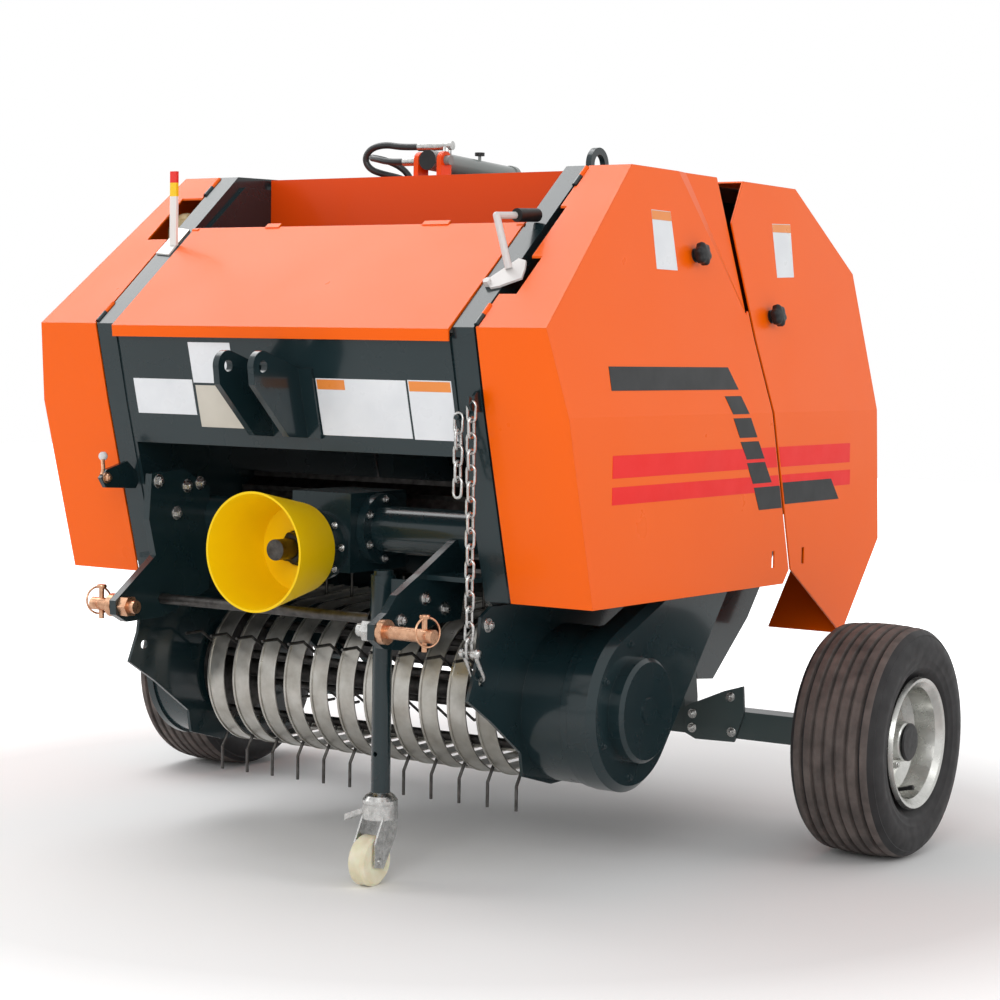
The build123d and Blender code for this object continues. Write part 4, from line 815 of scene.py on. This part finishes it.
def dress_nodes():
    """Every CAD node gets its finish, and the nodes of several materials get them by place."""
    for name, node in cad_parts.items():
        mesh = node.data
        mesh.materials.clear()
        rules = PART_FINISH.get(name, ())
        for material in [NODE_FINISH[name]] + [rule[0] for rule in rules]:
            mesh.materials.append(finish[material])
        for polygon in mesh.polygons:
            centre = polygon.center
            x, y, z = centre.x * 1000, centre.y * 1000 + ORIGIN_BEHIND_FRONT, centre.z * 1000
            polygon.material_index = 0
            for index, (_, test) in enumerate(rules):
                if test(x, y, z):
                    polygon.material_index = index + 1
                    break


def make_hose(name, node, points, swings):
    """A hydraulic hose on its own smooth spline.

    One that swings runs between the frame, at its low end, and the cylinder, at its fitting, and is given no
    body here."""
    curve = bpy.data.curves.new(name, "CURVE")
    curve.dimensions = "3D"
    spline = curve.splines.new("NURBS")
    spline.points.add(len(points) - 1)
    for point, place in zip(spline.points, points):
        point.co = (*at(*place), 1.0)
    spline.order_u = 3
    spline.use_endpoint_u = True
    spline.resolution_u = 12
    curve.materials.append(finish["hose"])
    hose = bpy.data.objects.new(name, curve)
    bpy.context.scene.collection.objects.link(hose)
    path = None
    if swings:
        line = bpy.data.meshes.new_from_object(hose)
        path = [vert.co.copy() for vert in line.vertices]
        bpy.data.objects.remove(hose)
        bm = bmesh.new()
        tube(bm, path, HOSE_R, HOSE_SIDES)
        hose = add_piece(name, bm, "hose", None, sharp_past=50)
        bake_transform(hose)
    else:
        curve.bevel_depth = HOSE_R / 1000
        curve.bevel_resolution = 5
        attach(hose, "frame")
    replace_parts(hose, node)


def side_word(side):
    return "right" if side > 0 else "left"


def make_tyre(side):
    """The ribbed implement tyre: seven ribs parted by six grooves, and a ringed side wall."""
    profile = list(SIDE_WALL)
    for middle in TREAD_GROOVES:
        top = TYRE_R - TREAD_FALL * (middle / TREAD_HALF) ** 2
        profile += [(middle - across, top - below) for across, below in GROOVE]
        profile += [(middle + across, top - below) for across, below in GROOVE[::-1]]
    profile += [(-along, radius) for along, radius in SIDE_WALL[::-1]]
    bm = bmesh.new()
    centre = at(side * WHEEL_X, WHEEL_Y, TYRE_R)
    lathe(bm, profile, centre, TO_RIGHT, TYRE_STEPS)
    for face in bm.faces:
        middle = face.calc_center_median() - centre
        on_tread = math.hypot(middle.y, middle.z) > TREAD_RUBBER_R and abs(middle.x) < TREAD_RUBBER_HALF
        face.material_index = int(on_tread)
    word = side_word(side)
    piece = add_piece("ribbed_tyre_" + word, bm, ["rubber", "tread"], "wheel_" + word, sharp_past=35)
    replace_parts(piece, "tyre_" + word)


def make_wheel_details(side):
    """A wheel's bolts, and the valve and the trim of its hub."""
    word = side_word(side)
    centre = at(side * WHEEL_X, WHEEL_Y, TYRE_R)
    out = Vector((side, 0, 0))
    bm = bmesh.new()
    for step in range(WHEEL_BOLTS):
        across, up = turned(WHEEL_BOLT_RING, 90 + 360 / WHEEL_BOLTS * step)
        bolt(bm, centre + Vector((side * WHEEL_BOLT_OUT, across, up)) / 1000, out, *WHEEL_BOLT)
    add_piece("wheel_bolts_" + word, bm, "zinc", "wheel_" + word, sharp_past=30)

    bm = bmesh.new()
    foot = centre + Vector((side * VALVE_OUT, 0, -VALVE_DROP)) / 1000
    lathe(bm, VALVE, foot, (side, 0, VALVE_LEAN), steps=16)
    lathe(bm, HUB_TRIM, centre + out * HUB_TRIM_OUT, out, steps=40)
    add_piece("wheel_hub_trim_" + word, bm, "black", "wheel_" + word, sharp_past=30)


def link_loop(centre, direction, across, inner):
    """The centreline of a round-wire chain link, in metres."""
    half = (LINK_W - WIRE) / 2
    reach = inner / 2 + WIRE / 2 - half
    points = []
    for end, start in ((1, 0), (-1, math.pi)):
        for step in range(LINK_BEND_STEPS + 1):
            angle = start + math.pi * step / LINK_BEND_STEPS
            along = end * reach + half * math.sin(angle)
            points.append(centre + across * half * math.cos(angle) / 1000 + direction * along / 1000)
    return points


def link_run(bm, start, direction, count, inner, across):
    """Links in a row from a start, turned by turns to the two directions across."""
    for index in range(count):
        centre = start + direction * (inner / 2 + index * (inner - LINK_SLACK)) / 1000
        loop = link_loop(centre, direction, across[index % 2], inner)
        tube(bm, loop, WIRE / 2, LINK_SIDES, closed=True)


def add_shackle(bm):
    """The bow shackle at the chain's low end, with the eyes at its ends and its pin."""
    pin = at(*CHAIN_PIN)
    bow = at(CHAIN_PIN[0], *SHACKLE_BOW)
    drop = (bow - pin).normalized()
    half = (SHACKLE_W - SHACKLE_WIRE) / 2
    middle = bow - drop * half / 1000
    points = [pin + Vector((-half / 1000, 0, 0)) - drop * SHACKLE_LEG_PAST]
    for step in range(SHACKLE_BEND_STEPS + 1):
        angle = math.pi + math.pi * step / SHACKLE_BEND_STEPS
        across = Vector((half * math.cos(angle), 0, 0)) / 1000
        points.append(middle + across - drop * half * math.sin(angle) / 1000)
    points.append(pin + Vector((half / 1000, 0, 0)) - drop * SHACKLE_LEG_PAST)
    tube(bm, points, SHACKLE_WIRE / 2, sides=12)
    eye = [(0, 0), (0, SHACKLE_EYE_R), (SHACKLE_EYE_T, SHACKLE_EYE_R), (SHACKLE_EYE_T, 0)]
    for side in (-1, 1):
        lathe(bm, eye, pin + Vector((side * half - SHACKLE_EYE_T / 2, 0, 0)) / 1000, TO_RIGHT, steps=20)
    reach = SHACKLE_W / 2
    length = 2 * reach + SHACKLE_PIN_PAST
    rod = [(0, 0), (0, SHACKLE_PIN_R), (length, SHACKLE_PIN_R), (length, 0)]
    lathe(bm, rod, pin - Vector((reach + SHACKLE_PIN_PAST, 0, 0)) / 1000, TO_RIGHT, steps=14)
    lathe(bm, SHACKLE_HEAD, pin + Vector((reach, 0, 0)) / 1000, TO_RIGHT, steps=6)


def make_chains():
    """Welded round-wire links along the CAD chain's own line, the spare links and the shackle."""
    bm = bmesh.new()
    right, rear = Vector((1, 0, 0)), Vector((0, 1, 0))
    top, low = at(*CHAIN_TOP), at(*CHAIN_PIN)
    direction = (low - top).normalized()
    start = top - direction * LINK_NEST / 1000
    end = low + direction * PIN_NEST / 1000
    inner = ((end - start).length * 1000 + (CHAIN_LINKS - 1) * LINK_SLACK) / CHAIN_LINKS
    link_run(bm, start, direction, CHAIN_LINKS, inner, (right, direction.cross(right).normalized()))
    spare_x, spare_y, spare_z = SPARE_PIN
    start = at(spare_x, spare_y, spare_z + PIN_NEST)
    link_run(bm, start, Vector((0, 0, -1)), SPARE_LINKS, SPARE_INNER, (right, rear))
    add_shackle(bm)
    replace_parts(add_piece("round_link_chains", bm, "zinc", "frame", sharp_past=50), "lift_chains")


def make_twine():
    """The ball of twine, its wound turns showing as ridges."""
    profile = [(0, 0)]
    steps = 2 * TWINE_TURNS
    for step in range(steps + 1):
        height = TWINE_HIGH * step / steps
        dome = max(height - (TWINE_HIGH - TWINE_R), 0)
        ridge = TWINE_RIDGE if step % 2 else -TWINE_DIP
        radius = math.sqrt(max(TWINE_R**2 - dome**2, 0)) - TWINE_INSET + ridge
        profile.append((height if height else TWINE_FIRST_STEP, max(radius, TWINE_LEAST_R)))
    profile.append((TWINE_HIGH, 0))
    bm = bmesh.new()
    lathe(bm, profile, at(TWINE_X, TWINE_Y, TWINE_SHELF), TO_TOP, TWINE_STEPS)
    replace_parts(add_piece("wound_twine", bm, "twine", "frame", sharp_past=80), "twine_ball")


def before_seam(z):
    """Where a stripe on the front cover ends."""
    return seam_y(z) - (SEAM_GAP + STRIPE_END)


def past_seam(z):
    """Where a stripe on the rear cover begins."""
    return seam_y(z) + (SEAM_GAP + STRIPE_END)


def make_stripes():
    """The right covers' red stripes and slanted black bars."""
    fronts = []
    rears = []
    for front, rear, low, high in RED_STRIPES:
        fronts.append([(front, low), (before_seam(low), low), (before_seam(high), high), (front, high)])
        rears.append([(past_seam(low), low), (rear, low), (rear, high), (past_seam(high), high)])
    films("red_stripes_front", fronts, right_cover, "red_film", "door_front_right")
    films("red_stripes_rear", rears, right_cover, "red_film", "door_rear_right")
    (y_high, z_high), (y_low, z_low) = LAST_BAR_FRONT
    last = [(y_high, z_high), (before_seam(z_high), z_high), (before_seam(z_low), z_low), (y_low, z_low)]
    films("black_bars_front", [*BLACK_BARS, last], right_cover, "black_film", "door_front_right", 2 * FILM)
    (y_high, z_high), (y_low, z_low) = LAST_BAR_REAR
    rest = [(past_seam(z_high), z_high), (y_high, z_high), (y_low, z_low), (past_seam(z_low), z_low)]
    films("black_bar_rear", [rest], right_cover, "black_film", "door_rear_right", 2 * FILM)


def make_plates():
    """The blank plates on the right covers and the front panel."""
    for word, plate, header in COVER_PLATES:
        body = "door_" + word + "_right"
        films("blank_plate_" + word, [plate], right_cover, "white_film", body)
        films("plate_header_" + word, [header], right_cover, "header_film", body, 2 * FILM)
    for name, plates, material, proud in (
        ("blank_plates_panel", PANEL_WHITES, "white_film", FILM),
        ("beige_plate_panel", PANEL_BEIGES, "beige_film", FILM),
        ("plate_headers_panel", PANEL_HEADERS, "header_film", 2 * FILM),
    ):
        outlines = []
        for left, right, low, high in plates:
            outlines.append([(left, low), (right, low), (right, high), (left, high)])
        films(name, outlines, front_face, material, "frame", proud)


def make_knobs():
    """The covers' lobed hand knobs, on both sides."""
    for word, y, z in KNOBS:
        for side in (1, -1):
            face = at(side * (COVER_OUT - LEAN * (z - LEAN_Z)), y, z)
            axis = (side, 0, LEAN)
            bm = bmesh.new()
            lathe(bm, KNOB_FOOT, face, axis, steps=28)
            lathe(bm, KNOB_HEAD, face, axis, steps=48, lobes=KNOB_LOBES, depth=KNOB_LOBE_DEPTH)
            place = word + "_" + side_word(side)
            add_piece("knob_" + place, bm, "black", "door_" + place, sharp_past=50)


def make_linch_pins():
    """The linch pins through the lower link pins, each with its head and ring."""
    bm = bmesh.new()
    for side in (-1, 1):
        x = side * LINCH_X
        tube(bm, [at(x, LINK_Y, LINCH_TOP), at(x, LINK_Y, LINCH_LOW)], LINCH_R, sides=12)
        lathe(bm, LINCH_HEAD, at(x, LINK_Y, LINCH_HEAD_Z), TO_TOP, steps=18)
        ring = circle(at(x + side * RING_OUT, LINK_Y, RING_Z), RING_AXIS, RING_R, steps=32)
        tube(bm, ring, RING_WIRE, sides=8, closed=True)
    add_piece("linch_pins", bm, "brassy", "frame", sharp_past=50)


def make_release_lever():
    """The release lever on the left, its pivot bolt and its ball."""
    bm = bmesh.new()
    tube(bm, [at(*place) for place in LEVER], LEVER_R, sides=10)
    bolt(bm, at(*LEVER_PIVOT), TO_RIGHT, *LEVER_BOLT)
    add_piece("release_lever", bm, "brassy", "frame", sharp_past=50)
    profile = []
    for step in range(1, BALL_STEPS):
        angle = step * math.pi / BALL_STEPS
        profile.append((-BALL_R * math.cos(angle), BALL_R * math.sin(angle)))
    bm = bmesh.new()
    lathe(bm, profile, at(*BALL_AT), TO_TOP, steps=20)
    add_piece("lever_ball", bm, "pedal", "frame", sharp_past=80)


def make_frame_bolts():
    """The bolts on the hitch plates, the right side, the gearbox's flanges and the axle's plates."""
    bm = bmesh.new()
    for y, z in HITCH_LEFT_SPOTS:
        bolt(bm, at(HITCH_LEFT_FACE, y, z), TO_RIGHT, *HITCH_LEFT_BOLT)
    for y, z in HITCH_RIGHT_SPOTS:
        bolt(bm, at(HITCH_RIGHT_FACE, y, z), TO_RIGHT, *HITCH_RIGHT_BOLT)
    bolt(bm, at(*SIDE_SPOT), TO_RIGHT, *SIDE_BOLT)
    for angle in range(0, 360, 45):
        across, up = turned(GEAR_FRONT_RING, angle)
        bolt(bm, at(across, GEAR_FRONT_Y, PTO_Z + up), TO_FRONT, *GEAR_FRONT_BOLT)
    gear_y, gear_z = GEAR_SIDE_YZ
    for side in (-1, 1):
        for angle in range(30, 390, 60):
            across, up = turned(GEAR_SIDE_RING, angle)
            spot = at(side * GEAR_SIDE_X, gear_y + across, gear_z + up)
            bolt(bm, spot, (side, 0, 0), *GEAR_SIDE_BOLT)
        for x, z in AXLE_SPOTS:
            bolt(bm, at(side * x, AXLE_FACE_Y, z), TO_FRONT, *AXLE_BOLT)
    add_piece("frame_bolts", bm, "zinc", "frame", sharp_past=30)


def make_chain_cover_bolts():
    """The painted bolts round the drive chain's cover, on the right."""
    bm = bmesh.new()
    for angle in CHAIN_COVER_ANGLES:
        across, up = turned(CHAIN_COVER_RING, angle)
        spot = at(CHAIN_COVER_FACE, REEL_Y + across, REEL_Z + up)
        bolt(bm, spot, TO_RIGHT, *CHAIN_COVER_BOLT)
    add_piece("chain_cover_bolts", bm, "green", "frame", sharp_past=30)


def make_shaft_collar():
    """The lobed collar that turns with the drive shaft."""
    bm = bmesh.new()
    centre = at(0, COLLAR_Y, PTO_Z)
    lathe(bm, COLLAR, centre, TO_FRONT, steps=60, lobes=COLLAR_LOBES, depth=COLLAR_LOBE_DEPTH)
    add_piece("shaft_collar", bm, "black", "pto_shaft", sharp_past=50)


make_camera()
finish = make_materials()
make_hose("hydraulic_hose_upper", "hose_upper", HOSE_UPPER, True)
make_hose("hydraulic_hose_lower", "hose_lower", HOSE_LOWER, False)
make_stage()
dress_nodes()
for wheel_side in (1, -1):
    make_tyre(wheel_side)
    make_wheel_details(wheel_side)
make_chains()
make_twine()
make_stripes()
make_plates()
make_knobs()
make_linch_pins()
make_release_lever()
make_frame_bolts()
make_chain_cover_bolts()
make_shaft_collar()
